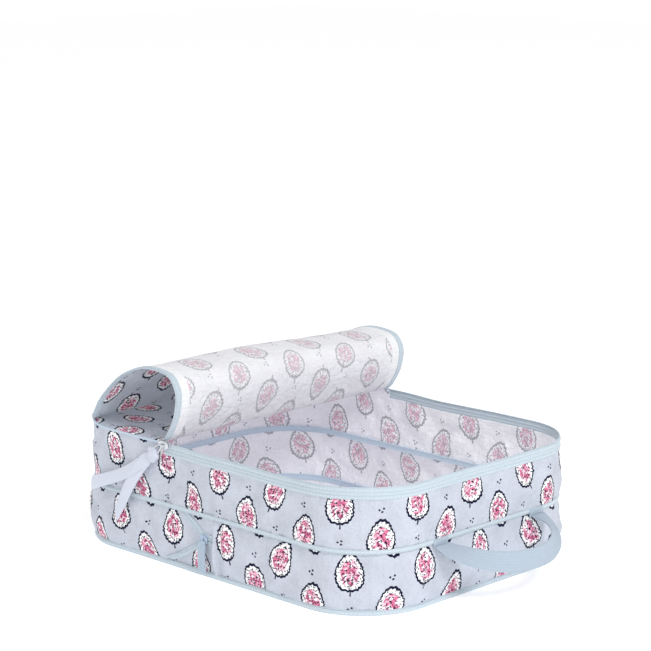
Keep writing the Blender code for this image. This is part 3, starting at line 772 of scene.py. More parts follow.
@dataclass(frozen=True)
class Outline:
    """The cube's plan: a rounded rectangle, run anticlockwise from the middle of the rear."""

    length: float = 0.367
    width: float = 0.280
    radius: float = 0.064

    @property
    def perimeter(self) -> float:
        """Returns: the way round, in metres."""
        return 2 * (self.length + self.width - 4 * self.radius) + 2 * math.pi * self.radius

    def at(self, run: float, inset: float = 0.0) -> tuple:
        """Args: run: metres from the rear's middle; inset: metres inwards.
        Returns: the x, y, 0 point and the outward direction."""
        run %= self.perimeter
        flat_x, flat_y = self.length - 2 * self.radius, self.width - 2 * self.radius
        arc = math.pi * self.radius / 2
        centre = Vector((-flat_x / 2, 0.0, 0.0))
        stretches = ((flat_y / 2, (0, -1, 0), 180.0), (flat_x, (1, 0, 0), 270.0), (flat_y, (0, 1, 0), 0.0),
                     (flat_x, (-1, 0, 0), 90.0), (flat_y / 2, (0, -1, 0), 180.0))
        for flat, way, angle in stretches:
            if run <= flat:
                out = self.out(angle)
                return centre + Vector(way) * run + out * (self.radius - inset), out
            run -= flat
            centre = centre + Vector(way) * flat
            if run <= arc:
                out = self.out(angle + 90.0 * run / arc)
                return centre + out * (self.radius - inset), out
            run -= arc
        out = self.out(180.0)
        return Vector((-flat_x / 2, 0.0, 0.0)) + out * (self.radius - inset), out

    @staticmethod
    def out(angle: float) -> Vector:
        """Args: angle: degrees. Returns: that direction in plan."""
        return Vector((math.cos(math.radians(angle)), math.sin(math.radians(angle)), 0.0))

    def front(self, x: float) -> float:
        """Args: x: on the front's flat stretch. Returns: its run."""
        return (self.width - 2 * self.radius) / 2 + math.pi * self.radius / 2 + x + self.length / 2 - self.radius

    def back(self, x: float) -> float:
        """Args: x: on the far side's flat stretch. Returns: its run."""
        return self.perimeter - self.front(x)

    def half_width(self, x: float) -> float:
        """Args: x: along the cube. Returns: half its width there."""
        over = max(0.0, abs(x) - (self.length / 2 - self.radius))
        return self.width / 2 - self.radius + math.sqrt(max(0.0, self.radius ** 2 - over ** 2))

    def inward_gap(self, x: float, y: float) -> float:
        """Args: x, y: a point in plan. Returns: its distance inside the outline."""
        over_x = max(0.0, abs(x) - (self.length / 2 - self.radius))
        over_y = max(0.0, abs(y) - (self.width / 2 - self.radius))
        if over_x > 0.0 and over_y > 0.0:
            return self.radius - math.hypot(over_x, over_y)
        return min(self.length / 2 - abs(x), self.width / 2 - abs(y))


PLAN = Outline()
ROUND = runs(0.0, PLAN.perimeter)    # the way round, with its start given twice
FOLD = -0.0500                       # x of the lid's fold
FOLD_HEM = 0.0060                    # from the fold to where the sewn top ends
WALL_FOOT = 0.0528                   # lower edge of the upper walls
CLOTH = 0.0008                       # thickness of the walls' cloth
OUTWARD = Vector((0, -1, 0))         # from the front wall


def stand(run: float, z: float, inset: float, push: float = 0.0) -> Vector:
    """A point of the standing cloth, with the rim's sag.

    Args: run: round the cube; z: height; inset: metres inwards; push: metres outwards. Returns: the point.
    """
    place, _ = PLAN.at(run, inset - push)
    sag = 0.0
    if z > 0.054:
        wave = 0.5 + 0.5 * ripple(place.x, place.y, 0.0, 0.085)
        sag = 0.0019 * wave * ease((place.x + 0.035) / 0.05) * ease((z - 0.054) / 0.052)
    return Vector((place.x, place.y, z - sag))


def creases(x: float, y: float, z: float) -> float:
    """Args: x, y, z: place in metres. Returns: slanting creases, metres outwards."""
    lean = ripple(x + 0.6 * z, y + 0.6 * z, z * 0.5 + 3.0, 0.034)
    cross = ripple(x - 0.8 * z, y - 0.8 * z, z * 0.4 + 8.0, 0.026)
    return 0.0064 * (0.28 - abs(lean)) + 0.0042 * (0.28 - abs(cross))


def puckers(run: float, gap: float) -> float:
    """Args: run: round the cube; gap: distance from a sewn edge. Returns: the gathers there, metres outwards."""
    wave = noise.noise(Vector((run / 0.0075, 0.0, 0.0))) + 0.6 * noise.noise(Vector((run / 0.017, 5.0, 0.0)))
    return 0.0019 * wave * math.exp(-gap / 0.009) * ease(gap / 0.0025)


def bump(x: float, middle: float, width: float) -> float:
    """Args: x: a place; middle, width: the bump's. Returns: 1 at its middle, falling to 0."""
    return math.exp(-((x - middle) / width) ** 2)


@dataclass(frozen=True)
class Band:
    """A woven band standing round the cube: heights, inset of its middle, thickness, finish, rolls across it."""

    low: float
    high: float
    inset: float
    thickness: float
    finish: PlainFinish
    lobes: int = 1

    def build(self, name: str, first: float | None = None, last: float | None = None) -> Piece:
        """Args: name: the piece's; first, last: its runs, or the whole way round. Returns: the piece."""
        closed = first is None
        along = ROUND[:-1] if closed else runs(first, last)
        tall, shares = self.high - self.low, steps(6 * self.lobes + 1)

        def point(run: float, share: float) -> Vector:
            place, _ = PLAN.at(run)
            swell = 0.0005 * abs(math.sin(math.pi * share * self.lobes)) ** 0.6
            return stand(run, self.low + tall * share, self.inset, swell + 0.0003 * ripple(place.x, place.y, 7.0, 0.03))

        uv = table(ROUND if closed else along, shares, lambda run, share: (run, tall * share))
        return Shell(table(along, shares, point), uv, self.thickness, closed).build(
            name, [FINISHES.plain(self.finish)])


def printed(grid: np.ndarray, uv: np.ndarray, name: str, thickness: float = CLOTH, closed: bool = False) -> Piece:
    """Args: grid, uv: the cloth; name: the piece's; thickness: metres; closed: it goes round. Returns: the piece."""
    sides = [FINISHES.printed(Side.OUTSIDE), FINISHES.printed(Side.INSIDE)]
    return Shell(grid, uv, thickness, closed).build(name, sides)


# ------------------------------------------------------------------- the tiers
class LowerTier:
    """The bottom, the bulging expansion gusset and its zip."""

    collapse = dict(joint="tier_collapse", axis=(0, 0, 1), anchor=(0, 0, 0.0053), keep=0.055)
    foot = 0.0015       # lower edge of the gusset
    tall = 0.0502       # the gusset's height
    inset = 0.0021      # the gusset's middle
    tape = 0.0040       # width of the parted tapes

    @staticmethod
    def push(run: float, z: float) -> float:
        """Args: run, z: a place on the gusset. Returns: how far it stands out, metres."""
        place, _ = PLAN.at(run)
        x, y = place.x, place.y
        window = math.sin(math.pi * min(1.0, max(0.0, (z - 0.0015) / 0.0500))) ** 0.75
        front = ease((-y - 0.13) / 0.008)
        calm = 1.0 - front * bump(x, -0.010, 0.030) * 0.85
        puff = (0.0034 + 0.0020 * ripple(x, y, z * 0.4, 0.050) + creases(x, y, z + 0.3)) * window * calm
        pleat = 0.0030 * bump(x, 0.0125, 0.0017) - 0.0016 * bump(x, 0.0190, 0.0022) + 0.0016 * bump(x, 0.0260, 0.0040)
        gathers = puckers(run + 6.0, max(0.0, z - 0.0040)) + puckers(run + 9.0, max(0.0, 0.0510 - z))
        return puff + front * window ** 0.5 * pleat + gathers * calm

    def on_gusset(self, x: float, z: float, lift: float) -> Vector:
        """Args: x, z: a place on the front; lift: metres off the cloth. Returns: the point."""
        run = PLAN.front(x)
        return stand(run, z, self.inset, self.push(run, z) + lift)

    def gusset(self) -> None:
        """Builds the gusset, which flattens as the tier folds away. The rows are closer by the zip's end."""
        near, far = PLAN.front(-0.01), PLAN.front(0.04)
        along = runs(0.0, near)[:-1] + runs(near, far, 0.0011)[:-1] + runs(far, PLAN.perimeter)[:-1]
        shares = steps(23)

        def point(run: float, share: float) -> Vector:
            z = self.foot + self.tall * share
            return stand(run, z, self.inset, self.push(run, z))

        uv = table(along + [PLAN.perimeter], shares,
                   lambda run, share: (run - PLAN.front(0.026), self.foot + self.tall * share - 0.0355))
        piece = printed(table(along, shares, point), uv, "lower_tier_cloth", closed=True)
        fit(piece, "base", "gusset", "printed_cloth", self.collapse)
        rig.sheet(piece, flat=(PLAN.perimeter, 0.0502), held="stretched", rests_on=["base_zip_tape"])

    def bottom(self) -> None:
        """Builds the bottom cloth."""
        hem = 0.0012

        def point(a: float, b: float) -> tuple:
            x = (PLAN.length / 2 - hem) * a
            y = (PLAN.half_width(x) - hem) * b
            inside = ease(PLAN.inward_gap(x, y) / 0.03)
            return x, y, 0.0008 + inside * 0.0012 * (1 + ripple(x, y, 3.0, 0.06)) * 0.5

        grid = table(spread(73), spread(41), point)
        piece = Shell(grid, grid[:, :, :2], 0.0009).build(
            "bottom_cloth", [FINISHES.printed(Side.INSIDE), FINISHES.printed(Side.OUTSIDE)])
        fit(piece, "base", "base_panel", "printed_cloth")
        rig.sheet(piece, flat=(PLAN.length, PLAN.width), held="laid", rests_on=["floor"],
                 area=PLAN.length * PLAN.width - (4 - math.pi) * PLAN.radius ** 2)

    def zip(self) -> None:
        """Builds the lower zip half, its coil, its stitching and the binding behind it."""
        tape = Band(0.0003, 0.0034, 0.0005, 0.0012, TAPE).build("base_zip_tape")
        fit(tape, "base", "expansion_tape_lower", "zip_tape")
        binding = Band(0.0017, 0.0068, 0.0037, 0.0011, BINDING).build("base_seam_tape")
        fit(binding, "base", "base_seam_binding", "binding")
        path = [stand(run, 0.0041, 0.0006) for run in ROUND[:-1]]
        coil = Tube(0.00062, 6, 0.22).build("base_zip_coil", [path], COIL, closed=True)
        fit(coil, "base", "expansion_coil_lower", "zip_coil")
        fit(stitches("base_stitches", [[(stand(run, 0.0019, -0.0006), PLAN.at(run)[1]) for run in ROUND]]), "base")

    def split(self) -> None:
        """Builds the tape halves that come together at the expansion slider."""
        upper = ((-0.0270, 0.0486), (-0.0150, 0.0415), (-0.0045, 0.0336), (0.0005, 0.0329), (0.0098, 0.0328))
        lower = ((-0.0480, 0.0066), (-0.0300, 0.0145), (-0.0110, 0.0262), (-0.0045, 0.0304), (0.0005, 0.0311),
                 (0.0098, 0.0312))
        step, columns = 0.0012, 4
        coils, sewn = [], []
        for name, arm, lean in (("split_tape_upper", upper, 1), ("split_tape_lower", lower, -1)):
            line = Tube.resample(np.array([(x, 0.0, z) for x, z in arm]), step, False)
            offsets = [self.tape * j / (columns - 1) for j in range(columns)][::lean]

            def point(i: int, offset: float) -> Vector:
                way = line[min(i + 1, len(line) - 1)] - line[max(i - 1, 0)]
                side = np.array([-way[2], 0.0, way[0]]) / np.linalg.norm(way) * lean
                x, _, z = line[i] + side * offset
                return self.on_gusset(x, min(0.0500, max(0.0060, z)), 0.0011)

            rows = table(range(len(line)), offsets, point)
            uv = table(range(len(line)), offsets, lambda i, offset: (i * step, offset))
            piece = Shell(rows, uv, 0.0011).build(name, [FINISHES.plain(TAPE)])
            fit(piece, "base", "expansion_tape_split", "zip_tape", self.collapse)
            coils.append([self.on_gusset(x, z, 0.0019) for x, _, z in line])
            middle = rows[:, 2 if lean > 0 else 1]
            sewn.append([(Vector(p) + OUTWARD * 0.0007, OUTWARD) for p in middle])
        coil = Tube(0.0007, 6, 0.24).build("split_coils", coils, COIL)
        fit(coil, "base", slot="zip_coil", squash=self.collapse)
        fit(stitches("split_stitches", sewn, 0.0026, 0.0017), "base", squash=self.collapse)

    def build(self) -> None:
        """Builds the whole tier."""
        self.bottom()
        self.zip()
        self.gusset()
        self.split()


class UpperTier:
    """The printed walls, the zips' upper halves, the rim and the sewn rear of the top."""

    first, last = PLAN.front(FOLD), PLAN.back(FOLD)     # the open rim's ends

    def walls(self) -> None:
        """Builds the front and rear walls."""
        for name, node, first, last, top in (
                ("front_wall_cloth", "front_wall", self.first, self.last, 0.0972),
                ("rear_wall_cloth", "rear_wall", self.last - PLAN.perimeter, self.first, 0.1047)):
            along, heights = runs(first, last), [WALL_FOOT + (top - WALL_FOOT) * share for share in steps(20)]
            grid = table(along, heights, lambda run, z: stand(run, z, 0.0009, self.push(run, z, top)))
            uv = table(along, heights, lambda run, z: (run - PLAN.front(0.018), z - 0.0905))
            piece = printed(grid, uv, name)
            fit(piece, "upper_tier", node, "printed_cloth")
            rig.sheet(piece, flat=(last - first, top - 0.0528), held="stretched", rests_on=["middle_seam_tape"])

    @staticmethod
    def push(run: float, z: float, top: float) -> float:
        """Args: run, z: a place on a wall; top: the wall's. Returns: how far it stands out, metres."""
        place, _ = PLAN.at(run)
        share = min(1.0, max(0.0, (z - WALL_FOOT) / (top - WALL_FOOT)))
        window = math.sin(math.pi * share) ** 0.8
        puff = 0.0012 + 0.0019 * ripple(place.x, place.y, z * 0.5 + 4.0, 0.060) + creases(place.x, place.y, z)
        return puff * window + puckers(run, z - WALL_FOOT) + puckers(run + 3.0, top - z)

    def bands(self) -> None:
        """Builds the seam tapes, the rim tape, the coils and their stitching."""
        rim = (self.first, self.last)
        for name, band, node, slot, span in (
                ("middle_zip_tape", Band(0.0514, 0.0540, 0.0002, 0.0013, TAPE), "expansion_tape_upper",
                 "zip_tape", ()),
                ("middle_seam_tape", Band(0.0494, 0.0546, 0.0037, 0.0011, BINDING), "middle_seam_binding",
                 "binding", ()),
                ("rim_tape", Band(0.0960, 0.1046, 0.0004, 0.0012, TAPE, 3), "lid_zip_tape_wall", "zip_tape", rim)):
            fit(band.build(name, *span), "upper_tier", node, slot)
        for name, z, along, closed, node in (
                ("middle_zip_coil", 0.0507, ROUND[:-1], True, "expansion_coil_upper"),
                ("rim_coil", 0.1054, runs(*rim), False, "lid_zip_coil_wall")):
            path = [stand(run, z, 0.0004) for run in along]
            fit(Tube(0.0006, 6, 0.22).build(name, [path], COIL, closed), "upper_tier", node, "zip_coil")
        rows = [[(stand(run, z, -0.0009), PLAN.at(run)[1]) for run in along]
                for z, along in ((0.0974, runs(*rim)), (0.1031, runs(*rim)), (0.0527, ROUND))]
        fit(stitches("tier_stitches", rows), "upper_tier")

    def rear_top(self) -> None:
        """Builds the part of the top that stays sewn to the rear wall."""
        hem = 0.0010
        edge = PLAN.length / 2 - hem

        def point(a: float, b: float) -> tuple:
            x = -edge + (edge + FOLD - FOLD_HEM) * a
            y = (PLAN.half_width(x) - hem) * math.sin(math.pi / 2 * b)
            inside = PLAN.inward_gap(x, y)
            hang = 0.0010 * ease(inside / 0.04) * (0.5 + 0.5 * ripple(x, y, 1.0, 0.05))
            drop = 0.0016 * (1 - ease(inside / 0.006)) + hang
            return x, y, 0.1058 - drop * ease((FOLD - FOLD_HEM - x) / 0.01 + 0.05)

        grid = table(steps(36), spread(49), point)
        piece = printed(grid, np.stack((grid[:, :, 1], FOLD - grid[:, :, 0]), axis=2), "rear_top_cloth", 0.0009)
        fit(piece, "upper_tier", "rear_top_panel", "printed_cloth")
        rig.sheet(piece, flat=(edge + FOLD, PLAN.width), held="stretched", rests_on=["rear_wall_cloth"])
        path = [stand(run, 0.1052, 0.0004) for run in runs(self.last - PLAN.perimeter, self.first)]
        fit(Tube(0.0011, 10).build("rear_piping", [path], BINDING), "upper_tier", slot="binding")

    def stops(self) -> None:
        """Builds the stops at the two ends of the lid zip."""
        for node in ("lid_zip_stop_left", "lid_zip_stop_right"):
            low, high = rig.box(node)
            size = high - low
            place = Matrix.Translation((low + high) / 2) @ Matrix.Rotation(math.radians(90), 4, "X")
            shape = plate(oblong(-size.x / 2, -size.z / 2, size.x / 2, size.z / 2), size.y, place, min(size) * 0.28)
            piece = finish_piece(node.replace("stop", "end_stop"), shape, [FINISHES.plain(METAL)])
            fit(piece, "upper_tier", node, "slider_metal")

    def build(self) -> None:
        """Builds the whole tier."""
        self.walls()
        self.bands()
        self.rear_top()
        self.stops()


# ------------------------------------------------------------------------- lid
class Lid:
    """The lid, rolled back, in pieces that bend from one hinge's body to the next."""

    weight = 1.45       # how closely the roll keeps to the hinge lines
    tape = 0.0056
    level = 0.1068
    step = 0.0022
    shares = (0.1113, 0.0942, 0.0771, 0.1456, 0.1456, 0.1456, 0.1328, 0.1478)
    directions = (59.0, 80.0, 122.0, 176.0, 203.0, 223.0, 234.063, 180.0)
    edge = (0.0012, 0.0030, 0.0052, 0.0080, 0.0120, 0.0160, 0.0200, 0.0240)

    def __init__(self) -> None:
        """Works out the hinge lines of the roll from its strips."""
        self.length = PLAN.length / 2 - FOLD
        parts = [share * self.length for share in self.shares]
        self.joints = [Vector((FOLD, 0.0, self.level))]
        for part, angle in zip(parts, self.directions):
            self.joints.append(self.joints[-1] + heading(angle) * part)
        self.marks = [sum(parts[:k]) for k in range(9)]
        self.mids = [-FOLD_HEM] + [(a + b) / 2 for a, b in zip(self.marks, self.marks[1:])]

    def curve(self, s: float) -> Vector:
        """Args: s: metres from the fold along the lid. Returns: the roll's point in the x, z plane."""
        if s >= self.mids[-1]:
            way = (self.joints[8] - self.joints[7]).normalized()
            return self.joints[7] + way * (s - self.marks[7])
        s = max(s, self.mids[0])
        k = max(i for i in range(9) if self.mids[i] <= s)
        start = (self.joints[k - 1] + self.joints[k]) / 2 if k else Vector((FOLD - FOLD_HEM, 0.0, 0.1060))
        end = (self.joints[k] + self.joints[k + 1]) / 2
        t = (s - self.mids[k]) / (self.mids[k + 1] - self.mids[k])
        a, b, c = (1 - t) ** 2, 2 * self.weight * t * (1 - t), t * t
        return (start * a + self.joints[k] * b + end * c) / (a + b + c)

    def at(self, s: float, y: float, lift: float = 0.0) -> Vector:
        """Args: s, y: a place on the flat lid; lift: metres to the printed side. Returns: the point at rest."""
        normal = turned((self.curve(s + 0.0012) - self.curve(s - 0.0012)).normalized())
        crease = 0.0008 * ripple(s, y, 9.0, 0.030) + 0.0012 * ripple(s * 0.5, y, 5.0, 0.075)
        calm = ease(s / 0.02) * (0.2 + 0.8 * ease(PLAN.inward_gap(FOLD + s, y) / 0.03))
        point = self.curve(s) + normal * (lift + crease * calm)
        point.y = y
        point.z -= max(0.0, point.z - self.level) * 0.085 * ease((y + 0.03) / 0.16)
        return point

    def carry(self, piece: Piece, k: int) -> None:
        """Ties a piece to the bodies it crosses. Args: piece: the piece; k: which stretch, from 0."""
        if k == 8:
            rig.ride(piece, "lid_8")
            return
        start, end = self.curve(self.mids[k]), self.curve(self.mids[k + 1])
        if k == 7:
            end = self.curve(self.marks[7] + 0.0095)
        if k == 0:
            start = self.curve(0.0) + Vector((-0.003, 0.0, 0.0))
        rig.blend(piece, "upper_tier" if k == 0 else f"lid_{k}", f"lid_{k + 1}", start=start, end=end)

    def across(self, s: float) -> list:
        """Args: s: metres from the fold. Returns: the cloth's y there, closer together near its edges."""
        half = PLAN.half_width(FOLD + s)
        inner = half - self.edge[-1]
        return ([d - half for d in self.edge] + [inner * c for c in spread(45)[1:-1]]
                + [half - d for d in self.edge[::-1]])

    def cloth(self) -> None:
        """Builds the printed cloth and its pale inner side."""
        bounds = self.mids + [self.length - 0.0015]
        for k in range(9):
            along = runs(bounds[k], bounds[k + 1], self.step)
            places = [[(s, y) for y in self.across(s)] for s in along]
            grid = np.array([[tuple(self.at(s, y)) for s, y in row] for row in places])
            uv = np.array([[(y, -s) for s, y in row] for row in places])
            gaps = np.array([[PLAN.inward_gap(FOLD + s, y) for s, y in row] for row in places])
            piece = Shell(grid, uv, 0.0007).build(
                f"lid_cloth_{k}", [FINISHES.printed(Side.OUTSIDE), FINISHES.printed(Side.LINING)], gaps)
            self.carry(piece, k)
            if k:
                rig.replaces(piece, f"lid_panel_{k}")
            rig.slot(piece, "printed_cloth")
            width = 2 * PLAN.half_width(FOLD + (along[0] + along[-1]) / 2)
            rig.sheet(piece, flat=(along[-1] - along[0], width), held="folded", rests_on=["rear_top_cloth"])

    def inset(self, e: float, d: float, lift: float = 0.0) -> Vector:
        """Args: e: metres round the lid's zip from the near end of the fold; d: metres in from its edge;
        lift: metres to the printed side. Returns: the point at rest."""
        place, out = PLAN.at(PLAN.front(FOLD) + e)
        return self.at(place.x - FOLD - out.x * d, place.y - out.y * d, lift)

    def edge_runs(self, k: int) -> list:
        """Args: k: which stretch of the lid. Returns: the ranges of the zip's run on it."""
        total = PLAN.back(FOLD) - PLAN.front(FOLD)
        corner = self.length - PLAN.radius

        def run_of(s: float) -> float:
            return s if s <= corner else corner + PLAN.radius * math.asin(min(1.0, (s - corner) / PLAN.radius))

        if k == 8:
            return [(run_of(self.mids[8]), total - run_of(self.mids[8]))]
        first, last = run_of(max(0.0, self.mids[k])), run_of(self.mids[k + 1])
        return [(first, last), (total - last, total - first)]

    def zip(self) -> None:
        """Builds the lid's zip tape, coil and stitching."""
        depths = [self.tape * share for share in steps(5)]
        for k in range(9):
            coils, rows = [], []
            for i, (first, last) in enumerate(self.edge_runs(k)):
                along = runs(first, last, self.step)
                uv = table(along, depths, lambda e, d: (e, d))
                piece = Shell(table(along, depths, self.inset), uv, 0.0015).build(
                    f"lid_tape_{k}_{i}", [FINISHES.plain(TAPE)])
                self.carry(piece, k)
                if k:
                    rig.replaces(piece, f"lid_zip_tape_{k}_{'end' if k == 8 else ('left', 'right')[i]}")
                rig.slot(piece, "zip_tape")
                coils.append([self.inset(e, -0.0004) for e in along])
                rows += [[(self.inset(e, d, lift), self.inset(e, d, lift) - self.inset(e, d)) for e in along]
                         for d in (0.0014, 0.0044) for lift in (0.0010, -0.0010)]
            coil = Tube(0.0006, 6, 0.22).build(f"lid_coil_{k}", coils, COIL)
            self.carry(coil, k)
            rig.slot(coil, "zip_coil")
            self.carry(stitches(f"lid_stitches_{k}", rows), k)

    def build(self) -> None:
        """Builds the whole lid."""
        self.cloth()
        self.zip()


# -------------------------------------------------------------------- hardware
FACING = Matrix.Rotation(math.radians(90), 4, "X")      # stands a plate up, facing the front


def upright(parts: Sequence, name: str, finish: PlainFinish) -> Piece:
    """Args: parts: outline, depth, centre and bevel of each plate; name: the piece's; finish: its surface.
    Returns: the plates as one piece, standing and facing the front."""
    plates = [plate(outline, depth, Matrix.Translation(centre) @ FACING, bevel)
              for outline, depth, centre, bevel in parts]
    return finish_piece(name, join(plates), [FINISHES.plain(finish)])


class LidSlider:
    """The metal slider on the lid's zip, its pull and the knotted ribbon."""

    pivot = Vector((-0.0485, -0.1457, 0.1050))
    ribbon_width = 0.0108

    def slider(self) -> None:
        """Builds the slider's two plates, its bridge, its rails and its bail."""
        low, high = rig.box("lid_zip_slider")
        centre, size = (low + high) / 2, high - low
        half, tall = size.x / 2, size.z / 2
        face = shield([(-half, -tall * 0.62), (-half * 0.35, -tall), (half * 0.55, -tall), (half, -tall * 0.55)])
        parts = [(face, 0.0011, (centre.x, y, centre.z), 0.0004) for y in (high.y - 0.0006, low.y + 0.0021)]
        parts.append((oblong(-0.0012, -0.0012, 0.0012, 0.0012), 0.0030,
                      (centre.x + half * 0.55, centre.y + 0.0003, centre.z), 0.0004))
        rail = oblong(-half * 0.55, -0.0005, half * 0.5, 0.0005)
        parts += [(rail, 0.0026, (centre.x, high.y - 0.0018, centre.z + z), 0.0003)
                  for z in (0.0005 - tall, tall - 0.0005)]
        body = upright(parts, "main_slider", METAL)
        arch = [Vector((centre.x + 0.0036 * math.cos(a), low.y + 0.0016 - 0.0021 * math.sin(a), centre.z))
                for a in (math.pi * share for share in steps(17))]
        bail = Tube(0.00075, 10).build("main_slider_bail", [arch], METAL)
        fit(body, "lid_slider", "lid_zip_slider", "slider_metal")
        fit(bail, "lid_slider", slot="slider_metal")

    def ribbon(self) -> None:
        """Builds the pull loop, the ribbon's knot and its two tails."""
        low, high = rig.box("ribbon_knot")
        knot = (low + high) / 2 + Vector((0.0030, 0.0, 0.0028))
        way = Vector((knot.x - self.pivot.x, 0.0, knot.z - self.pivot.z))
        reach = way.length
        way.normalize()
        angles = (2 * math.pi * k / 28 for k in range(28))
        loop = [self.pivot + way * (reach * (0.48 + 0.52 * math.cos(a))) + turned(way) * 0.0026 * math.sin(a)
                for a in angles]
        pull = Tube(0.0007, 10).build("main_pull", [loop], METAL, closed=True)
        fit(pull, "lid_pull", "lid_zip_pull", "slider_metal")
        self.wrap(knot, (high - low) * 0.56)
        for node, degrees, length, swing in (("ribbon_tail_long", 208.0, 0.090, 0.0035),
                                             ("ribbon_tail_short", 230.5, 0.079, -0.0030)):
            self.tail(knot, node, degrees, length, swing)

    @staticmethod
    def wrap(knot: Vector, size: Vector) -> None:
        """Builds the knot. Args: knot: its middle; size: half its size."""
        shape = bmesh.new()
        bmesh.ops.create_uvsphere(shape, u_segments=56, v_segments=32, radius=1.0)
        for vert in shape.verts:
            x, y, z = vert.co
            lap = math.sin(3.2 * x + 5.5 * z) * 0.10 + math.sin(6.0 * z - 3.0 * x + 1.0) * 0.06
            grow = 0.95 + lap + 0.05 * noise.noise(vert.co * 3.5)
            vert.co = knot + Vector((x * size.x, y * size.y, z * size.z)) * grow
        for face in shape.faces:
            face.smooth = True
        ball = finish_piece("ribbon_knot_wrap", shape, [FINISHES.plain(RIBBON)])
        fit(ball, "lid_pull", "ribbon_knot", "ribbon")

    def tail(self, knot: Vector, node: str, degrees: float, length: float, swing: float) -> None:
        """Builds a tail. Args: knot: its start; node: what it replaces; degrees: its direction;
        length: metres; swing: how far it bows, metres."""
        axis = heading(degrees)
        span = turned(axis)

        def point(run: float, c: float) -> Vector:
            share = run / length
            bow = axis * run + span * swing * math.sin(math.pi * share * 1.2)
            flare = 0.66 + 0.34 * ease(run / 0.012)
            roll = 0.22 * math.sin(2.6 * share + degrees) * ease(share * 3.0)
            wide = (span * math.cos(roll) + OUTWARD * math.sin(roll)) * (self.ribbon_width / 2 * flare * c)
            slant = axis * (0.0035 * c * ease((share - 0.8) / 0.2))
            lift = 0.0012 + 0.0010 * math.sin(5.0 * share + 0.6) + 0.0006 * math.cos(math.pi * c / 2)
            return knot + bow + wide + OUTWARD * (lift * ease(share * 6.0)) + slant

        along, columns = runs(0.0, length, 0.0018), spread(9)
        uv = table(along, columns, lambda run, c: (run, 0.0055 * c))
        tail = Shell(table(along, columns, point), uv, 0.0006).build(
            node.replace("tail", "end"), [FINISHES.plain(RIBBON)])
        fit(tail, "lid_pull", node, "ribbon")
        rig.sheet(tail, flat=(0.011, length), held="hung", rests_on=["ribbon_knot_wrap"])

    def build(self) -> None:
        """Builds the slider and everything that hangs from it."""
        self.slider()
        self.ribbon()


class ExpansionSlider:
    """The small enamelled slider where the expansion tapes meet, with its cloth pull."""

    def slider(self) -> None:
        """Builds the slider and its bail."""
        low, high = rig.box("expansion_slider")
        centre, size = (low + high) / 2, high - low
        half, tall = size.x / 2, size.z / 2
        face = shield([(-half, -tall * 0.75), (-half * 0.4, -tall), (half * 0.5, -tall * 0.8), (half, -tall * 0.45)])
        parts = [(face, 0.0010, (centre.x, y, centre.z), 0.0004) for y in (high.y - 0.0005, low.y + 0.0010)]
        parts.append((oblong(-0.0011, -0.0011, 0.0011, 0.0011), size.y * 0.8,
                      (centre.x - half * 0.3, centre.y, centre.z), 0.0003))
        body = upright(parts, "tier_slider", ENAMEL)
        arch = [Vector((centre.x, low.y + 0.0006 - 0.0016 * math.sin(a), centre.z + 0.0028 * math.cos(a)))
                for a in (math.pi * share for share in steps(17))]
        bail = Tube(0.0006, 10).build("tier_slider_bail", [arch], ENAMEL)
        fit(body, "expansion_slider", "expansion_slider", "slider_enamel")
        fit(bail, "expansion_slider", slot="slider_enamel")

    def pull(self) -> None:
        """Builds the cloth pull and its stitching."""
        low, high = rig.box("expansion_pull")
        middle, length = (low + high) / 2, high.z - low.z

        def point(run: float, c: float) -> tuple:
            share = run / length
            narrow = 0.80 + 0.20 * ease(share / 0.2) - 0.10 * ease((share - 0.9) / 0.1)
            bow = 0.0008 * math.sin(3.4 * share) + 0.0003 * (1 - c * c)
            return middle.x + 0.0041 * narrow * c, middle.y - bow, high.z - run

        along, columns = runs(0.0, length, 0.0012), spread(9)
        grid = table(along, columns, point)
        uv = table(along, columns, lambda run, c: (run, 0.0040 * c))
        pull = Shell(grid[::-1], uv[::-1], 0.0014).build("tier_pull", [FINISHES.plain(PULL)])
        fit(pull, "expansion_pull", "expansion_pull", "ribbon")
        rows = [[(Vector(grid[i, j]) + OUTWARD * 0.0008, OUTWARD) for i in range(3, len(along) - 1)]
                for j in (1, len(columns) - 2)]
        fit(stitches("tier_pull_stitches", rows, 0.0022, 0.0015, 0.0002), "expansion_pull")

    def build(self) -> None:
        """Builds the slider and its pull."""
        self.slider()
        self.pull()


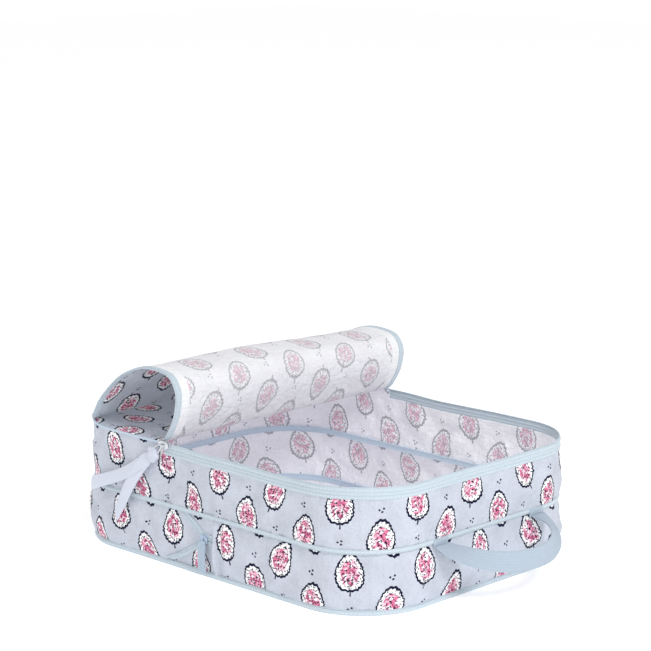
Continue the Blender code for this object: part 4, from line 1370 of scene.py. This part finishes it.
@dataclass(frozen=True)
class Handle:
    """The ribbed webbing handle on the right side. Lengths in metres, droop and twist in degrees."""

    span: float = 0.1210
    reach: float = 0.0500
    droop: float = 16.0
    twist: float = -66.0
    width: float = 0.0170
    thickness: float = 0.0015
    ribs: float = 3.5
    pivot: tuple = (0.1861, 0.0065, 0.0486)

    def section(self, t: float) -> tuple:
        """Args: t: 0 to 1 along the webbing. Returns: centre, width direction and normal, from the swing axis."""
        out = heading(-self.droop)
        side = Vector((0.0, 1.0, 0.0))
        plane = out.cross(side)
        angle = math.pi * t
        centre = side * (-self.span / 2 * math.cos(angle)) + out * (self.reach * math.sin(angle))
        along = (side * (self.span / 2 * math.sin(angle)) + out * (self.reach * math.cos(angle))).normalized()
        roll = math.radians(self.twist) * math.sin(angle) ** 0.9
        width = (along.cross(plane) * math.cos(roll) + plane * math.sin(roll)).normalized()
        return centre, width, along.cross(width).normalized()

    def strap(self) -> None:
        """Builds the webbing."""
        shape = bmesh.new()
        layer = shape.loops.layers.uv.new("UVMap")
        rings, places = [], []
        count = 110
        for i in range(count + 1):
            centre, width, normal = self.section(i / count)
            ring, marks = [], []
            for side in (1.0, -1.0):
                for c in (c * side for c in spread(33)):
                    rib = 0.72 + 0.28 * abs(math.cos(c * math.pi * self.ribs)) if abs(c) < 0.97 else 0.35
                    offset = width * (self.width / 2 * c) + normal * (self.thickness / 2 * rib * side)
                    ring.append(shape.verts.new(Vector(self.pivot) + centre + offset))
                    marks.append((i * 0.0015, c * self.width / 2))
            rings.append(ring)
            places.append(marks)
        for i in range(count):
            for k in range(len(rings[0])):
                e = (k + 1) % len(rings[0])
                corners = ((i, k), (i, e), (i + 1, e), (i + 1, k))
                face = shape.faces.new([rings[a][b] for a, b in corners])
                face.smooth = True
                for loop, (a, b) in zip(face.loops, corners):
                    loop[layer].uv = places[a][b]
        shape.faces.new(rings[0])
        shape.faces.new(rings[-1][::-1])
        bmesh.ops.recalc_face_normals(shape, faces=shape.faces)
        strap = finish_piece("handle_strap", shape, [FINISHES.plain(WEBBING)])
        fit(strap, "handle", "handle_webbing", "webbing")

    @staticmethod
    def patch(node: str) -> None:
        """Builds a folded end, sewn to the wall, and its stitches. Args: node: what it replaces."""
        low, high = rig.box(node)
        size = high - low
        place = Matrix.Translation((low + high) / 2) @ Matrix.Rotation(math.radians(90), 4, "Z") @ FACING
        shape = plate(oblong(-size.y / 2, -size.z / 2, size.y / 2, size.z / 2), size.x, place, size.x * 0.3)
        piece = finish_piece(node.replace("patch", "end"), shape, [FINISHES.plain(WEBBING)])
        fit(piece, "upper_tier", node, "webbing")
        out = Vector((1, 0, 0))
        corners = [Vector((high.x + 0.0001, y, z)) for y, z in
                   oblong(low.y + 0.0018, low.z + 0.0014, high.y - 0.0018, high.z - 0.0012)]
        rows = [[(a, out), (b, out)] for a, b in zip(corners, corners[1:] + corners[:1])]
        fit(stitches(node.replace("patch", "stitches"), rows, 0.0022, 0.0016), "upper_tier")

    def build(self) -> None:
        """Builds the webbing and its two ends."""
        self.strap()
        self.patch("handle_patch_left")
        self.patch("handle_patch_right")


# --------------------------------------------------------------------- studio
class Studio:
    """A white sweep with soft light and the camera."""

    azimuth = 44.3
    elevation = 11.5
    distance = 1.922
    lens = 121.66
    sweep = 6.0                 # half the floor's width
    floor_glow = 0.33
    ambient = 0.68              # light from all round
    seen = 0.34                 # how much brighter the camera sees it
    lights = (("key", (1.45, -0.40, 1.35), 0.6, 17.0), ("fill", (-1.3, -1.2, 1.2), 1.2, 4.0))

    def floor(self) -> None:
        """Builds the floor."""
        shape = bmesh.new()
        w = self.sweep
        shape.faces.new([shape.verts.new((x, y, 0.0)) for x, y in oblong(-w, -w, w, w)])
        material = FINISHES.plain(FLOOR)
        glow = material.node_tree.nodes["Principled BSDF"].inputs
        glow["Emission Color"].default_value = (1.0, 1.0, 1.0, 1.0)
        glow["Emission Strength"].default_value = self.floor_glow
        glow["Specular IOR Level"].default_value = 0.0
        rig.stage(finish_piece("floor", shape, [material]))

    def light(self) -> None:
        """Builds the light from all round and the two lamps."""
        world = bpy.data.worlds.new("studio")
        world.use_nodes = True
        tree = world.node_tree
        camera_ray = tree.nodes.new("ShaderNodeLightPath").outputs["Is Camera Ray"]
        strength = tree.nodes.new("ShaderNodeMath")
        strength.operation = "MULTIPLY_ADD"
        strength.inputs[1].default_value = self.seen
        strength.inputs[2].default_value = self.ambient
        tree.links.new(camera_ray, strength.inputs[0])
        tree.links.new(strength.outputs[0], tree.nodes["Background"].inputs[1])
        tree.nodes["Background"].inputs[0].default_value = (1.0, 1.0, 1.0, 1.0)
        bpy.context.scene.world = world
        for name, place, size, power in self.lights:
            light = bpy.data.lights.new(name, "AREA")
            light.shape, light.size, light.energy = "DISK", size, power
            lamp = bpy.data.objects.new(name, light)
            lamp.location = place
            lamp.rotation_euler = (Vector((0, 0, 0.06)) - Vector(place)).to_track_quat("-Z", "Y").to_euler()
            bpy.context.scene.collection.objects.link(lamp)

    def camera(self) -> None:
        """Builds the camera."""
        a, e = math.radians(self.azimuth), math.radians(self.elevation)
        back = Vector((math.sin(a) * math.cos(e), -math.cos(a) * math.cos(e), math.sin(e)))
        right = Vector((math.cos(a), math.sin(a), 0.0))
        up = back.cross(right)
        camera = bpy.data.objects.new("camera", bpy.data.cameras.new("camera"))
        camera.data.lens, camera.data.sensor_width = self.lens, 36.0
        camera.location = Vector((0, 0, 0.07)) + back * self.distance + right * 0.002 + up * 0.121
        camera.rotation_euler = Matrix((right, up, back)).transposed().to_euler()
        bpy.context.scene.collection.objects.link(camera)
        bpy.context.scene.camera = camera
        bpy.context.scene.view_settings.view_transform = "Standard"

    def build(self) -> None:
        """Builds the floor, the lights and the camera."""
        self.floor()
        self.light()
        self.camera()


def main() -> None:
    """Builds the cube, then the studio, and writes both sizes."""
    logging.basicConfig(level=logging.INFO, format="%(message)s")
    for step in (LowerTier, UpperTier, Lid, LidSlider, ExpansionSlider, Handle, Studio):
        step().build()
        LOG.info("built %s", step.__name__)
    low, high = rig.bounds()
    with open("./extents.json", "w", encoding="utf-8") as out:
        json.dump({"cad": [list(v) for v in CAD_BOUNDS], "visual": [list(low), list(high)]}, out)


if __name__ == "__main__":
    main()
